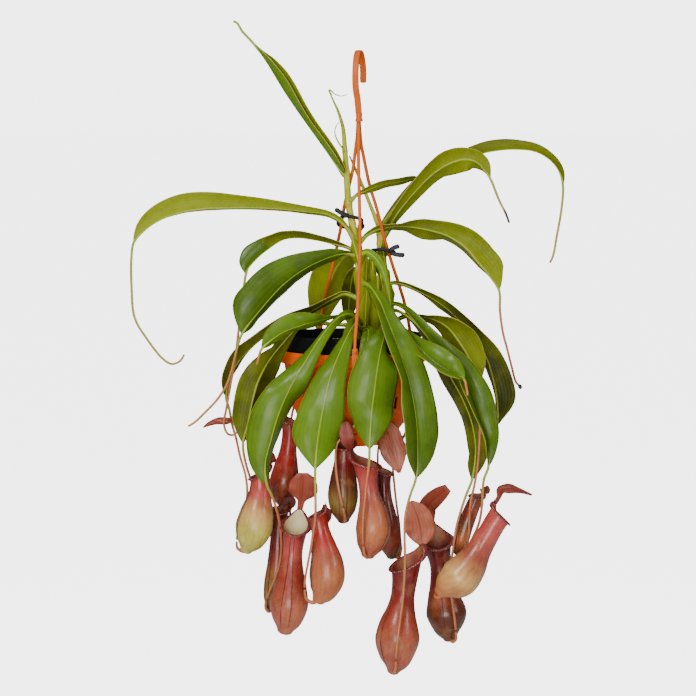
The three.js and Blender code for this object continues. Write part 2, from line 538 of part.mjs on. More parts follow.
// Axis points [across, down, depth, radius] from the base up to the mouth. front is the bearing
// of the low side of the mouth, in degrees from straight ahead (plus to the right); slant is how
// far the back of the mouth stands above its front, per unit of radius. The tail is the end of
// the tendril, curling up into the base. The lid grows from the back of the mouth.
const PITCHERS = {
  pitcher_01: {
    axis: [[246, 550, -50, 6], [249.5, 542, -50, 13.5], [254, 528, -50, 18], [257.5, 511, -50, 15.8],
      [259.5, 497, -50, 11.8], [260, 485, -50, 9.6], [260, 474, -50, 9.6]],
    front: -80, slant: 0.5, tail: [[236.5, 541, -42], [237.5, 548, -46], [243, 551, -49], [248, 546, -50]],
    lid: { half: 8, points: [[268, 462, -48], [272, 452, -44]] },
  },
  pitcher_02: {
    axis: [[283, 505, -8, 5], [283, 497, -8, 11], [284, 482, -8, 14.5], [286, 467, -8, 12.3],
      [288, 451, -9, 8.6], [289.5, 435, -10, 7.5], [289.5, 421, -10, 8.2]],
    front: 60, slant: 0.5, tail: [[265, 503, -7], [272, 507.5, -5], [280, 507, -6], [283, 500, -8]],
    lid: { half: 7, points: [[281, 412, -14], [279, 403, -10]] },
  },
  pitcher_03: {
    axis: [[271, 609, -22, 5], [273, 599, -22, 9.5], [275.5, 583, -22, 11.5], [277, 563, -22, 9.8],
      [278, 542, -22, 8.2], [279, 522, -22, 8.2], [280, 510, -22, 9.2]],
    front: -50, slant: 0.5, tail: [[266, 600, -33], [265.5, 607, -29], [269, 611, -23], [273, 605, -22]],
    lid: { half: 7, points: [[289, 502, -26], [284, 499, -36]] },
  },
  pitcher_04: {
    axis: [[285, 630, -54, 8], [287, 621, -54, 14.5], [289, 605, -54, 19], [290.5, 588, -54, 16.3],
      [291.5, 571, -54, 12.2], [292.5, 555, -54, 9.8], [294, 540, -54, 10.6], [296, 525, -54, 13]],
    front: -8, slant: 0.62, tail: [[290, 621, -26], [288, 629, -30], [286, 633, -40], [286, 628, -52]],
    lid: { half: 14.5, points: [[302, 497, -44], [303, 486, -48], [303, 473, -53]] },
  },
  pitcher_05: {
    axis: [[318.5, 600, -70, 6.5], [322.5, 593, -70, 12.5], [327, 579, -70, 17], [327.2, 564, -70, 16.2],
      [324.6, 548, -70, 12.4], [321.4, 533, -70, 9.2], [318.5, 520, -70, 8.4], [317, 514, -70, 9]],
    front: -80, slant: 0.25, tail: [[304.6, 589, -73], [306, 598, -71], [312, 602.5, -70], [321, 597, -70]],
    lid: { half: 6, points: [[326, 514, -60], [323, 521, -54], [320, 531, -51]] },
  },
  pitcher_06: {
    axis: [[343.5, 520, -58, 6], [343, 511, -58, 12], [343, 496, -58, 15], [343.5, 479, -58, 13.2],
      [344, 462, -58, 10], [344.3, 449, -58, 9.4], [344.5, 443, -58, 9.8]],
    front: 0, slant: 0.5, tail: [[343, 508, -75.5], [345, 517, -70], [345, 521, -62], [343.5, 516, -58]],
    lid: { half: 8, points: [[345, 431, -54], [346, 424, -62]] },
  },
  pitcher_07: {
    axis: [[368, 554.5, -75, 7], [370, 546, -75, 13], [373, 530, -75, 17], [372.5, 514, -75, 14.8],
      [370, 499, -75, 10.6], [368, 486, -75, 9.2], [366.5, 474, -75, 10.6], [365, 462, -75, 13.5]],
    front: 70, slant: 0.5, tail: [[363.3, 546, -88], [364.5, 554, -86], [367, 557, -80], [369, 551, -75]],
    lid: { half: 7, points: [[347.5, 440, -80], [346, 431, -80], [346.5, 421, -77]] },
  },
  pitcher_08: {
    axis: [[392, 556, -42, 5.5], [391, 547, -42, 10.5], [388, 532, -42, 12.2], [386, 514, -42, 9.8],
      [384.5, 498, -42, 7.2], [384, 483, -42, 6.6], [384, 471, -42, 7.8]],
    front: 60, slant: 0.4, tail: [[400.5, 541, -37], [401, 550, -38], [398, 557, -40], [392, 552, -42]],
    lid: { half: 12.5, points: [[379, 450, -44], [382, 440, -48], [389, 441, -53], [394, 454, -56],
      [399.5, 473, -56]] },
  },
  pitcher_09: {
    axis: [[393, 671, -80, 6], [395.5, 661, -80, 14.5], [397.3, 641, -80, 21.5], [398.5, 625, -80, 19.3],
      [401, 609, -80, 14], [402.8, 596, -80, 11.6], [405, 580, -80, 12.4], [407.5, 561, -80, 14.6]],
    front: -65, slant: 0.72, tail: [[396, 661, -98], [395.5, 669, -93], [394, 673, -85], [394, 666, -80]],
    lid: { half: 14.5, points: [[421, 532, -74], [418, 518, -78], [411, 501, -82]] },
  },
  pitcher_10: {
    axis: [[450, 637.5, -46, 7], [448, 629, -46, 14], [446.5, 614, -46, 20], [444, 598, -46, 16.5],
      [442, 582, -46, 12], [440.5, 566, -46, 10.4], [438.5, 552, -46, 12.3], [437, 540, -46, 14.3]],
    front: 5, slant: 0.5, tail: [[456, 632, -67], [456, 639, -60], [452, 641, -51], [450, 632, -46]],
    lid: { half: 9, points: [[434, 519, -32], [434, 506, -36], [440, 493, -46], [447, 486, -54]] },
  },
  pitcher_11: {
    axis: [[440, 592, -94, 6.5], [446, 587, -94, 13.5], [457.5, 579, -94, 19], [468, 567, -94, 17.2],
      [478, 551, -94, 12.4], [487, 536, -94, 10.8], [494, 524, -94, 10.8], [500, 515, -94, 11.4]],
    front: 100, slant: 0.2, tail: [[437, 592.5, -86], [435, 596, -91], [438, 597, -94], [445, 589, -94]],
    lid: { half: 13, left: [-30, -60, -60], right: [30, 60, 60],
      points: [[497, 500, -94], [500, 492, -94], [506, 489.5, -94], [516, 490, -94], [530, 494.5, -94]] },
  },
  pitcher_12: {
    axis: [[458, 553, -54, 4.5], [461, 541, -54, 7.6], [466, 524, -54, 7.8], [472, 508, -54, 7.4],
      [477, 496, -54, 6.4]],
    front: -60, slant: 0.4, tail: [[466, 545, -62], [463, 553, -60], [459, 556, -56], [460, 548, -54]],
    lid: { half: 5, points: [[485, 490, -50], [483, 488, -56]] },
  },
};

function pitcher({ axis, front, slant, tail, lid }) {
  const curve = through(route(axis));
  const radii = axis.map((point) => point[3]);
  const bearing = THREE.MathUtils.degToRad(front);
  const forward = new THREE.Vector3(Math.sin(bearing), -Math.cos(bearing), 0);
  const last = axis.length - 1;
  const floor = 2;                                 // the inside ends at this axis point
  const outer = axis.map((_, i) => (
    { t: i / last, radius: radii[i], lip: i === last ? 1 : i === last - 1 ? 0.45 : 0 }
  ));
  const inner = outer.slice(floor).reverse().map((ring) => (
    { ...ring, radius: Math.max(ring.radius - PITCHER_WALL, 1) }
  ));
  const rings = [...outer, ...inner];
  const lean = (t) => {
    const along = curve.getTangent(t);
    return { along, ahead: forward.clone().addScaledVector(along, -forward.dot(along)).normalize() };
  };
  const body = reshaped(PITCHER_SIDES, rings.length - 1, (step, side, out) => {
    const { t, radius, lip } = rings[Math.round(step * (rings.length - 1))];
    const { along, ahead } = lean(t);
    const angle = side * 2 * Math.PI;
    return curve.getPoint(t)
      .addScaledVector(ahead, out * radius * Math.cos(angle))
      .addScaledVector(new THREE.Vector3().crossVectors(along, ahead), out * radius * Math.sin(angle))
      .addScaledVector(along, -out * lip * slant * radius * Math.cos(angle));
  });
  const { along, ahead } = lean(1);
  const back = curve.getPoint(1).addScaledVector(ahead, -(radii[last] - PITCHER_WALL / 2))
    .addScaledVector(along, slant * radii[last] - 1);
  const { points, ...shape } = lid;
  const cover = blade({ rib: [back, ...route(points)], peak: 0.6, ...shape }, LID_RINGS, LID_THIN);
  const ends = route(tail);
  ends[0].addScaledVector(ends[1].clone().sub(ends[0]).normalize(), 2 * GAP);
  const tailRadius = (share) => TENDRIL_RADIUS + 2.2 * share ** 2;
  return joined([body, cover, rod(through(ends), tailRadius, 6, TAIL_STEPS)]);
}

// A pitcher that has not opened yet: a closed, pointed pod.
const POD = [[234.2, 419.7, 3], [228, 420.8, 3.4], [218, 421, 4], [209, 424, 4], [202, 428, 4]];
const podRadius = (share) => keyed([1.2, 3.4, 3.9, 3, 2, 0.5], share);

// ---------------------------------------------------------------- plant ties
const TIE = finish('#1d2420', 0.7);
const TIES = {
  tie_left: {
    loop: [[362, 226, 12], [362, 220, 6], [356, 217.6, 4.5], [349, 216.3, 4.5], [343, 216.5, 10],
      [339, 219.5, 21], [337.5, 223.5, 31.5], [341, 226.3, 36.3], [345.5, 227.5, 33.5], [354, 229, 26],
      [361, 229, 18], [362.5, 226.5, 12]],
    tails: [[[349, 216.3, 4.5], [342, 213.3, 4], [334.8, 208.7, 5]]],
  },
  tie_right: {
    loop: [[391, 251.5, 14], [384, 249.8, 15.5], [376, 249.8, 18], [371.8, 250.8, 26], [374, 252.8, 32.5],
      [382, 254.5, 33.5], [390, 254, 30], [395, 252.5, 22], [391.5, 251.5, 14]],
    tails: [[[390, 250.5, 13.5], [394, 247.8, 13], [399.5, 245.8, 12]],
      [[390, 252.5, 13.5], [397, 254.6, 13], [405, 255.2, 12]]],
  },
};

function tie({ loop, tails }) {
  const band = (points, steps) => strap(through(route(points)), UP, TIE_WIDTH, TIE_THICK, steps);
  const knot = toSolid(new THREE.IcosahedronGeometry(2.6, 0).translate(...seen(...loop[0]).toArray()));
  return joined([band(loop, 24), knot, ...tails.map((tail) => band(tail, 3))]);
}

// ---------------------------------------------------------------- the whole thing
const clearances = { stem_1: clearOf('stem_1'), stem_2: clearOf('stem_2') };

addPart('basket', basket(), ORANGE);
addPart('nursery_pot', nurseryPot(), BLACK);
addPart('compost', compost().subtract(clearances.stem_1).subtract(clearances.stem_2), SOIL);
addPart('hanger', hanger(), ORANGE);
for (const [name, spec] of Object.entries(STEMS)) addPart(name, stem(spec), STEM_GREEN);
for (const [name, spec] of Object.entries(LEAVES)) addPart(name, leaf(spec), LEAF);
for (const [name, spec] of Object.entries(PITCHERS)) addPart(name, pitcher(spec), PITCHER);
addPart('pitcher_13', rod(through(route(POD)), podRadius, 6, 8), PITCHER);
for (const [name, spec] of Object.entries(TIES)) addPart(name, tie(spec), TIE);

export default object;
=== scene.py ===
# %% [markdown]
# # A hanging pitcher plant
# The plant climbs out of a black nursery pot that stands in an orange basket. Two vine stems are
# tied to the basket's hanger. Every leaf's midrib runs on past the blade as a tendril, and most
# tendrils carry a pitcher: a hollow bulb and neck with a ribbed rim and a lid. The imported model
# is the frame: every piece made here stands for one of its nodes and stays in its place.

# %% Load the frame
import math
import random

import bpy
from mathutils import Matrix, Vector


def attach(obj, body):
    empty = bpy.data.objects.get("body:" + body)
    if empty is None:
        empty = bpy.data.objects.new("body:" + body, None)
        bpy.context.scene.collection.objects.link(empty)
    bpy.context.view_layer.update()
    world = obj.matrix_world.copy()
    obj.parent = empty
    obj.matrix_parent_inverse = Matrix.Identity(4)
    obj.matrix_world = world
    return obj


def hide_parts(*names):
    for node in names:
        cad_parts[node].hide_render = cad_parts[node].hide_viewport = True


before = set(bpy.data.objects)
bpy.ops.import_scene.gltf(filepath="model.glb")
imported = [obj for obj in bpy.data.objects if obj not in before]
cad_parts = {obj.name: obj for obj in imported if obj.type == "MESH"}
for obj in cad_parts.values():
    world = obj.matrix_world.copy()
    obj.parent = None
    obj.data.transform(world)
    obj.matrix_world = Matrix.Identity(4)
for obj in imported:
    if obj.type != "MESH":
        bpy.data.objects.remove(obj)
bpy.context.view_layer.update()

# %% [markdown]
# ## The elevation
# Every route on the plant was drawn on a front elevation, 1 mm to the unit, with a third
# number for the depth away from the front. The drawing is in perspective, as the plant is seen
# from 2.6 m in front and a little above, so a point is found by undoing that view. Working this
# way keeps the pieces here on the same lines as the solids of the frame.

# %% Points on the elevation, in metres
MM = 0.001
FULL = 2 * math.pi
HOOK_ON_SHEET = (358, 53)
SHEET_CENTRE = (348, 348)
POT_ON_SHEET = 352
VIEW_DISTANCE = 2600
VIEW_TILT = math.radians(5)


def seen(across, down, depth):
    """The place of a point that is drawn at across and down and lies at a depth."""
    u = across - SHEET_CENTRE[0]
    v = SHEET_CENTRE[1] - down
    sin, cos = math.sin(VIEW_TILT), math.cos(VIEW_TILT)
    reach = (depth + VIEW_DISTANCE * cos) / (VIEW_DISTANCE * cos + v * sin)
    eye = HOOK_ON_SHEET[1] - SHEET_CENTRE[1] + VIEW_DISTANCE * sin
    x = SHEET_CENTRE[0] - HOOK_ON_SHEET[0] + reach * u
    return Vector((x, depth, eye + reach * (v * cos - VIEW_DISTANCE * sin))) * MM


POT_X = (POT_ON_SHEET - HOOK_ON_SHEET[0]) * MM
print("hook crown:", seen(*HOOK_ON_SHEET, 0))

# %% [markdown]
# ## Camera, floor and light
# The camera stands where the elevation was drawn from. A long lens keeps the plant's proportions
# calm. The floor is plain and pale. Five soft lamps light the plant: a key lamp high on the left,
# a low one in front that reaches under the leaves, a fill on the right, one above and a weak one
# behind. The floor and the surround look bright but throw little light, so that the edges of the
# thin tendrils stay clean.

# %% Camera
SENSOR_WIDTH = 36

camera_data = bpy.data.cameras.new("camera")
camera_data.sensor_width = SENSOR_WIDTH
camera_data.lens = SENSOR_WIDTH * VIEW_DISTANCE / (2 * SHEET_CENTRE[0])
camera = bpy.data.objects.new("camera", camera_data)
bpy.context.scene.collection.objects.link(camera)
target = seen(*SHEET_CENTRE, 0)
camera.location = target + VIEW_DISTANCE * MM * Vector((0, -math.cos(VIEW_TILT), math.sin(VIEW_TILT)))
camera.rotation_euler = (math.pi / 2 - VIEW_TILT, 0, 0)
bpy.context.scene.camera = camera
print("lens:", round(camera_data.lens, 1))


# %% A colour from its six hex digits
def paint(code):
    """The linear red, green, blue and alpha of a colour named by its six hex digits."""
    def linear(c):
        """One channel out of the sRGB curve."""
        return c / 12.92 if c < 0.04045 else ((c + 0.055) / 1.055) ** 2.4

    return tuple(linear(int(code[i:i + 2], 16) / 255) for i in (0, 2, 4)) + (1,)


# %% Floor and lights
FLOOR_SIZE = 400
FLOOR_HEIGHT = -0.9
FLOOR_LOOK = 4.15
SURROUND_LOOK = 4.4
SURROUND_LIGHT = 0.2
WHITE = (1, 1, 1, 1)


def looked_at(tree, socket, light, look):
    """Gives a stage socket one value for the light it throws and another for how it looks."""
    choice = tree.nodes.new("ShaderNodeMapRange")
    choice.inputs["To Min"].default_value = light
    choice.inputs["To Max"].default_value = look
    tree.links.new(tree.nodes.new("ShaderNodeLightPath").outputs["Is Camera Ray"], choice.inputs["Value"])
    tree.links.new(choice.outputs["Result"], socket)


bpy.ops.object.select_all(action="DESELECT")
bpy.ops.mesh.primitive_plane_add(size=FLOOR_SIZE, location=(0, 0, FLOOR_HEIGHT))
floor = bpy.context.active_object
floor.name = "floor"
pale = bpy.data.materials.new("pale_floor")
pale.use_nodes = True
pale_shader = pale.node_tree.nodes["Principled BSDF"]
pale_shader.inputs["Base Color"].default_value = (0.8, 0.8, 0.8, 1)
pale_shader.inputs["Roughness"].default_value = 1.0
pale_shader.inputs["Specular IOR Level"].default_value = 0.0
pale_shader.inputs["Emission Color"].default_value = WHITE
looked_at(pale.node_tree, pale_shader.inputs["Emission Strength"], 0.0, FLOOR_LOOK)
floor.data.materials.append(pale)

# Each lamp: its place, its size and its power.
LAMPS = {
    "key": ((-1.0, -1.9, 0.95), 0.75, 38),
    "low": ((-0.25, -2.4, -0.62), 1.1, 42),
    "fill": ((2.0, -1.3, 0.2), 0.7, 11),
    "top": ((0.0, -0.5, 1.6), 0.8, 14),
    "back": ((0.4, 2.2, 0.9), 1.6, 3),
}
for lamp_name, (place, size, power) in LAMPS.items():
    lamp_data = bpy.data.lights.new(lamp_name, "AREA")
    lamp_data.size = size
    lamp_data.energy = power
    lamp = bpy.data.objects.new(lamp_name, lamp_data)
    lamp.location = place
    lamp.rotation_euler = (target - Vector(place)).to_track_quat("-Z", "Y").to_euler()
    bpy.context.scene.collection.objects.link(lamp)

world = bpy.data.worlds.new("studio")
world.use_nodes = True
surround = world.node_tree.nodes["Background"]
surround.inputs["Color"].default_value = WHITE
looked_at(world.node_tree, surround.inputs["Strength"], SURROUND_LIGHT, SURROUND_LOOK)
bpy.context.scene.world = world
print("lamps:", list(LAMPS))

# %% [markdown]
# ## Shared effects
# Living things are never one flat colour. Three small node groups are used by nearly every
# material: a soft mottle, a set of dots and fine wandering lines. Each is built once, with named
# inputs, and each material gives it its own values. All but the lines lie on the object's own
# coordinates, so a pattern runs on over the joints between the parts of a piece.


# %% Node groups
def node_group(name, output, **inputs):
    """An empty group with one output, and inputs that are numbers or, given as a triple, vectors."""
    group = bpy.data.node_groups.new(name, "ShaderNodeTree")
    for socket, value in inputs.items():
        kind = "NodeSocketVector" if isinstance(value, tuple) else "NodeSocketFloat"
        group.interface.new_socket(socket, in_out="INPUT", socket_type=kind).default_value = value
    group.interface.new_socket(output, in_out="OUTPUT", socket_type="NodeSocketFloat")
    return group, group.nodes.new("NodeGroupInput").outputs, group.nodes.new("NodeGroupOutput").inputs


def put(tree, socket, value):
    """Links a socket to an output, or sets it to a value."""
    if isinstance(value, bpy.types.NodeSocket):
        tree.links.new(value, socket)
    else:
        socket.default_value = value


def add_node(tree, kind, settings=None, **values):
    """A node with its properties set; its inputs go by name, or as i0, i1 and so on by number."""
    node = tree.nodes.new(kind)
    for key, value in (settings or {}).items():
        setattr(node, key, value)
    for key, value in values.items():
        put(tree, node.inputs[int(key[1:]) if key[1:].isdigit() else key.replace("_", " ")], value)
    return node


def calculate(tree, operation, first, second=0.0):
    """The output of a Math node; one that takes a single number leaves the second alone."""
    return add_node(tree, "ShaderNodeMath", {"operation": operation}, i0=first, i1=second).outputs[0]


def on_object(tree):
    return add_node(tree, "ShaderNodeTexCoord").outputs["Object"]


def mottle_group():
    group, given, result = node_group("Mottle", "Mask", Scale=30, Low=0.4, High=0.6)
    noise = add_node(group, "ShaderNodeTexNoise", Vector=on_object(group), Scale=given["Scale"], Detail=4,
                     Roughness=0.55)
    spread = add_node(group, "ShaderNodeMapRange", Value=noise.outputs["Fac"], From_Min=given["Low"],
                      From_Max=given["High"])
    group.links.new(spread.outputs["Result"], result["Mask"])
    return group


def dots_group():
    group, given, result = node_group("Dots", "Mask", Scale=400, Size=0.3, Stretch=(1, 1, 1))
    pulled = add_node(group, "ShaderNodeMapping", Vector=on_object(group), Scale=given["Stretch"])
    cells = add_node(group, "ShaderNodeTexVoronoi", Vector=pulled.outputs["Vector"], Scale=given["Scale"])
    spread = add_node(group, "ShaderNodeMapRange", {"interpolation_type": "SMOOTHSTEP"},
                      Value=cells.outputs["Distance"], From_Max=given["Size"], To_Min=1, To_Max=0)
    group.links.new(spread.outputs["Result"], result["Mask"])
    return group


def lines_group():
    group, given, result = node_group("Lines", "Height", Position=0, Count=20, Wander=0.6)
    noise = add_node(group, "ShaderNodeTexNoise", Vector=on_object(group), Scale=60)
    phase = calculate(group, "MULTIPLY", given["Position"], given["Count"])
    drift = calculate(group, "MULTIPLY", noise.outputs["Fac"], given["Wander"])
    turns = calculate(group, "MULTIPLY", calculate(group, "ADD", phase, drift), FULL)
    spread = add_node(group, "ShaderNodeMapRange", Value=calculate(group, "SINE", turns), From_Min=-1)
    group.links.new(spread.outputs["Result"], result["Height"])
    return group


MOTTLE, DOTS, LINES = mottle_group(), dots_group(), lines_group()
print("groups:", [group.name for group in (MOTTLE, DOTS, LINES)])

# %% [markdown]
# Every material starts the same way, so a small class holds its tree. mix() lays one colour over
# another through a mask, blotch() and streak() do so in soft patches and in fine lines, and
# bump() turns a height into a normal.


# %% A material as it is being mixed
class Finish:
    """A Principled material and the nodes that feed it."""

    def __init__(self, name, roughness=0.5, coat=0.0, coat_roughness=0.1, specular=0.5):
        self.material = bpy.data.materials.new(name)
        self.material.use_nodes = True
        self.tree = self.material.node_tree
        self.shader = self.tree.nodes["Principled BSDF"]
        self.set("Roughness", roughness)
        self.set("Coat Weight", coat)
        self.set("Coat Roughness", coat_roughness)
        self.set("Specular IOR Level", specular)

    def set(self, socket, value):
        put(self.tree, self.shader.inputs[socket], value)

    def node(self, kind, settings=None, **values):
        return add_node(self.tree, kind, settings, **values)

    def use(self, group, **values):
        return add_node(self.tree, "ShaderNodeGroup", {"node_tree": group}, **values).outputs[0]

    def mix(self, mask, under, over):
        """Under seen through over; the sixth and seventh inputs are the colours A and B."""
        return self.node("ShaderNodeMix", {"data_type": "RGBA"}, Factor=mask, i6=under, i7=over).outputs[2]

    def times(self, first, second):
        return calculate(self.tree, "MULTIPLY", first, second)

    def plus(self, first, second):
        return calculate(self.tree, "ADD", first, second)

    def spread(self, value, low, high, to_low=0.0, to_high=1.0):
        """Low to high laid out smoothly from to_low to to_high."""
        node = self.node("ShaderNodeMapRange", {"interpolation_type": "SMOOTHSTEP"}, Value=value,
                         From_Min=low, From_Max=high, To_Min=to_low, To_Max=to_high)
        return node.outputs["Result"]

    def attribute(self, name, output="Fac"):
        return self.node("ShaderNodeAttribute", {"attribute_name": name}).outputs[output]

    def uv(self, axis):
        """How far across (X) or along (Y) its grid a point lies, 0..1."""
        where = self.node("ShaderNodeUVMap")
        return self.node("ShaderNodeSeparateXYZ", Vector=where.outputs["UV"]).outputs[axis]

    def off_middle(self):
        """How far from the middle line of its grid a point lies, 0..0.5."""
        return calculate(self.tree, "ABSOLUTE", calculate(self.tree, "SUBTRACT", self.uv("X"), 0.5))

    def patches(self, scale, low=0.4, high=0.6):
        return self.use(MOTTLE, Scale=scale, Low=low, High=high)

    def blotch(self, colour, code, amount, scale, low=0.4, high=0.6):
        """A second colour over the first, in soft patches."""
        return self.mix(self.times(self.patches(scale, low, high), amount), colour, paint(code))

    def streak(self, colour, code, amount, lines, low=0.7):
        """A second colour over the first, along the crests of the lines."""
        return self.mix(self.times(self.spread(lines, low, 1), amount), colour, paint(code))

    def bump(self, height, distance, strength=1.0):
        node = self.node("ShaderNodeBump", Height=height, Distance=distance, Strength=strength)
        self.set("Normal", node.outputs["Normal"])

    def vary_roughness(self, scale, smoothest, roughest, low=0.4, high=0.6):
        self.set("Roughness", self.spread(self.patches(scale, low, high), 0, 1, smoothest, roughest))


# %% [markdown]
# ## Leaf skin
# The upper side of a blade is deep green and waxy, the lower side olive and duller. Both have a
# pale midrib, fine veins that run the length of the blade and a thin straw-coloured margin. The
# wax lies in patches, so the gloss does too. A grid's own UV map runs across and along the blade,
# so the lines follow it whichever way it bends. How light a leaf is comes from the shade
# attribute: partly the leaf's own tone, and partly painted shade and light, darker for leaves that
# lie in shadow and lighter for backlit ones. A second attribute says how ripe, or red, a
# tendril is, and one past the ripest is a dried brown end.


# %% Leaf materials
DRY = 2
RIB_HALF = 0.06
MARGIN = 0.488


def leaf_skin(name, dark, light, vein, margin, roughness, coat, midrib_wide):
    skin = Finish(name, roughness=roughness, coat_roughness=0.24, specular=0.15)
    skin.set("Coat Weight", skin.times(skin.patches(26, 0.36, 0.6), coat))
    # Painted shade and light: the shade attribute mixes dark into light partly for each leaf's own tone and
    # partly for how much light falls on it.
    colour = skin.mix(skin.attribute("shade"), paint(dark), paint(light))
    colour = skin.blotch(colour, light, 0.3, 38, 0.4, 0.68)
    colour = skin.blotch(colour, dark, 0.22, 120, 0.5, 0.75)
    veins = skin.use(LINES, Position=skin.uv("X"), Count=12, Wander=0.35)
    colour = skin.streak(colour, vein, 0.06, veins)
    off_rib = skin.off_middle()
    colour = skin.mix(skin.spread(off_rib, 0, midrib_wide, 0.85, 0), colour, paint(vein))
    colour = skin.mix(skin.spread(off_rib, MARGIN, 0.5, 0, 0.8), colour, paint(margin))
    skin.set("Base Color", colour)
    skin.vary_roughness(70, roughness - 0.06, roughness + 0.1, 0.35, 0.7)
    height = skin.plus(skin.spread(off_rib, 0, RIB_HALF, 2.2, 0), skin.times(veins, 0.18))
    skin.bump(skin.plus(height, skin.times(skin.patches(22), 2.2)), 0.00016, 0.7)
    return skin.material


LEAF_UPPER = leaf_skin("leaf_upper", "263600", "648800", "88a400", "c8b050", 0.55, 0.42, 0.022)
LEAF_UNDER = leaf_skin("leaf_under", "2c2c00", "869204", "c4ca44", "9c9036", 0.6, 0.04, 0.05)


def stalk_skin():
    skin = Finish("leaf_stalk_and_tendril", roughness=0.42, coat=0.15, specular=0.4)
    colour = skin.mix(skin.attribute("ripe"), paint("88a41a"), paint("b45a38"))
    colour = skin.blotch(colour, "b8804a", 0.4, 55, 0.45, 0.7)
    colour = skin.mix(skin.spread(skin.attribute("ripe"), DRY * 0.55, DRY * 0.9), colour, paint("1c140e"))
    skin.set("Base Color", colour)
    skin.bump(skin.use(DOTS, Scale=1400, Size=0.5), 0.00008)
    return skin.material


STALK = stalk_skin()
print("leaf materials:", LEAF_UPPER.name, LEAF_UNDER.name, STALK.name)

# %% [markdown]
# ## Routes and frames
# A smooth line goes through the given points of a route. It is a centripetal Catmull-Rom
# curve, which never loops or overshoots where two points lie close together.


# %% A smooth line through points
def span(last, share):
    """The last key a share 0..1 of the way has passed, and how far on it is to the next."""
    x = min(max(share, 0), 1) * last
    i = min(int(x), last - 1)
    return i, x - i


class Route:
    """A line through points: vectors, or points on the elevation."""

    def __init__(self, points):
        self.points = [point if isinstance(point, Vector) else seen(*point) for point in points]

    def at(self, t):
        last = len(self.points) - 1
        i, w = span(last, t)
        b, c = self.points[i], self.points[i + 1]
        a = self.points[i - 1] if i else 2 * b - c
        d = self.points[i + 2] if i + 2 <= last else 2 * c - b
        before, here, after = (math.sqrt((q - p).length) or 1e-6 for p, q in ((a, b), (b, c), (c, d)))
        start = ((b - a) / before - (c - a) / (before + here) + (c - b) / here) * here
        end = ((c - b) / here - (d - b) / (here + after) + (d - c) / after) * here
        return b + w * start + w * w * (3 * (c - b) - 2 * start - end) + w ** 3 * (2 * (b - c) + start + end)

    def along(self, t):
        return (self.at(min(t + 1e-4, 1)) - self.at(max(t - 1e-4, 0))).normalized()


def keyed(keys, share):
    """A number along 0..1 through evenly spaced keys."""
    i, w = span(len(keys) - 1, share)
    return keys[i] + (keys[i + 1] - keys[i]) * w


def eased(keys, share):
    """A number through evenly spaced keys, without corners."""
    i, w = span(len(keys) - 1, share)
    b, c = keys[i], keys[i + 1]
    a = keys[i - 1] if i else 2 * b - c
    d = keys[i + 2] if i + 2 < len(keys) else 2 * c - b
    return b + 0.5 * w * (c - a + w * (2 * a - 5 * b + 4 * c - d + w * (3 * (b - c) + d - a)))


def smooth(value, low, high):
    """0 below low and 1 above high, with a soft step between them."""
    x = min(max((value - low) / (high - low), 0), 1)
    return x * x * (3 - 2 * x)


print("route test:", Route([(358, 53, 0), (358, 100, 0), (370, 150, 0)]).at(0.5))

# %% [markdown]
# ## Tools of the bench
# A sheet is a grid primitive whose vertices are laid along a route. A tube is a grid rolled up:
# its two long sides meet and are merged, and its ends close in a point. Both keep the grid's
# UV map, which runs across and along. In the functions called place, step is the share of the
# way along the grid, and side is how far across or round it.


# %% Sheets, tubes, joining and modifiers
MERGE = 0.01 * MM
END_POINT = 0.3         # how far past its last ring a rod ends, as a share of a step


def deselect():
    if bpy.context.object and bpy.context.object.mode != "OBJECT":
        bpy.ops.object.mode_set(mode="OBJECT")
    bpy.ops.object.select_all(action="DESELECT")


def only(piece):
    deselect()
    piece.select_set(True)
    bpy.context.view_layer.objects.active = piece


def named(piece, name):
    piece.name = name
    piece.data.name = name
    return piece


def sheet(name, across, along, place):
    """A grid laid by place(step 0..1 along, side -1..1 across)."""
    deselect()
    bpy.ops.mesh.primitive_grid_add(x_subdivisions=across, y_subdivisions=along, size=2)
    piece = named(bpy.context.active_object, name)
    for vertex in piece.data.vertices:
        vertex.co = place((vertex.co.y + 1) / 2, vertex.co.x)
    bpy.ops.object.shade_smooth()
    return piece


def mend(piece, outward=True):
    """Merges vertices that lie together and, on a closed shape, turns its faces out."""
    only(piece)
    bpy.ops.object.mode_set(mode="EDIT")
    bpy.ops.mesh.select_all(action="SELECT")
    bpy.ops.mesh.remove_doubles(threshold=MERGE)
    if outward:
        bpy.ops.mesh.normals_make_consistent(inside=False)
    bpy.ops.object.mode_set(mode="OBJECT")


def tube(name, sides, steps, place):
    """A grid rolled up by place(step 0..1 along, side 0..1 round)."""
    piece = sheet(name, sides, steps, lambda step, side: place(step, (side + 1) / 2))
    mend(piece)
    return piece


def ring_frames(route, steps):
    """For each ring: its place, and two directions square to the route that never twist."""
    frames = []
    side = None
    for i in range(steps + 1):
        along = route.along(i / steps)
        if side is None:
            side = along.orthogonal()
        side = (side - along * side.dot(along)).normalized()
        frames.append((route.at(i / steps), side.copy(), along.cross(side)))
    return frames


def rod(name, route, radius, sides, steps):
    """A round rod along a route, closed at both ends; radius is a function of 0..1."""
    frames = ring_frames(route, steps)

    def place(step, side):
        i = round(step * steps)
        spot, one, two = frames[i]
        size = 0 if i in (0, steps) else radius((i - 1) / (steps - 2))
        if i == steps:
            spot = frames[i - 1][0] + (spot - frames[i - 1][0]) * END_POINT
        return spot + size * (one * math.cos(side * FULL) + two * math.sin(side * FULL))

    return tube(name, sides, steps, place)


def modify(piece, kind, **settings):
    only(piece)
    modifier = piece.modifiers.new(kind.lower(), kind)
    for key, value in settings.items():
        setattr(modifier, key, value)
    bpy.ops.object.modifier_apply(modifier=modifier.name)


def join(pieces, name):
    deselect()
    for piece in pieces:
        piece.select_set(True)
    bpy.context.view_layer.objects.active = pieces[0]
    bpy.ops.object.join()
    return named(pieces[0], name)


def colour_with(piece, *materials):
    piece.data.materials.clear()
    for material in materials:
        piece.data.materials.append(material)


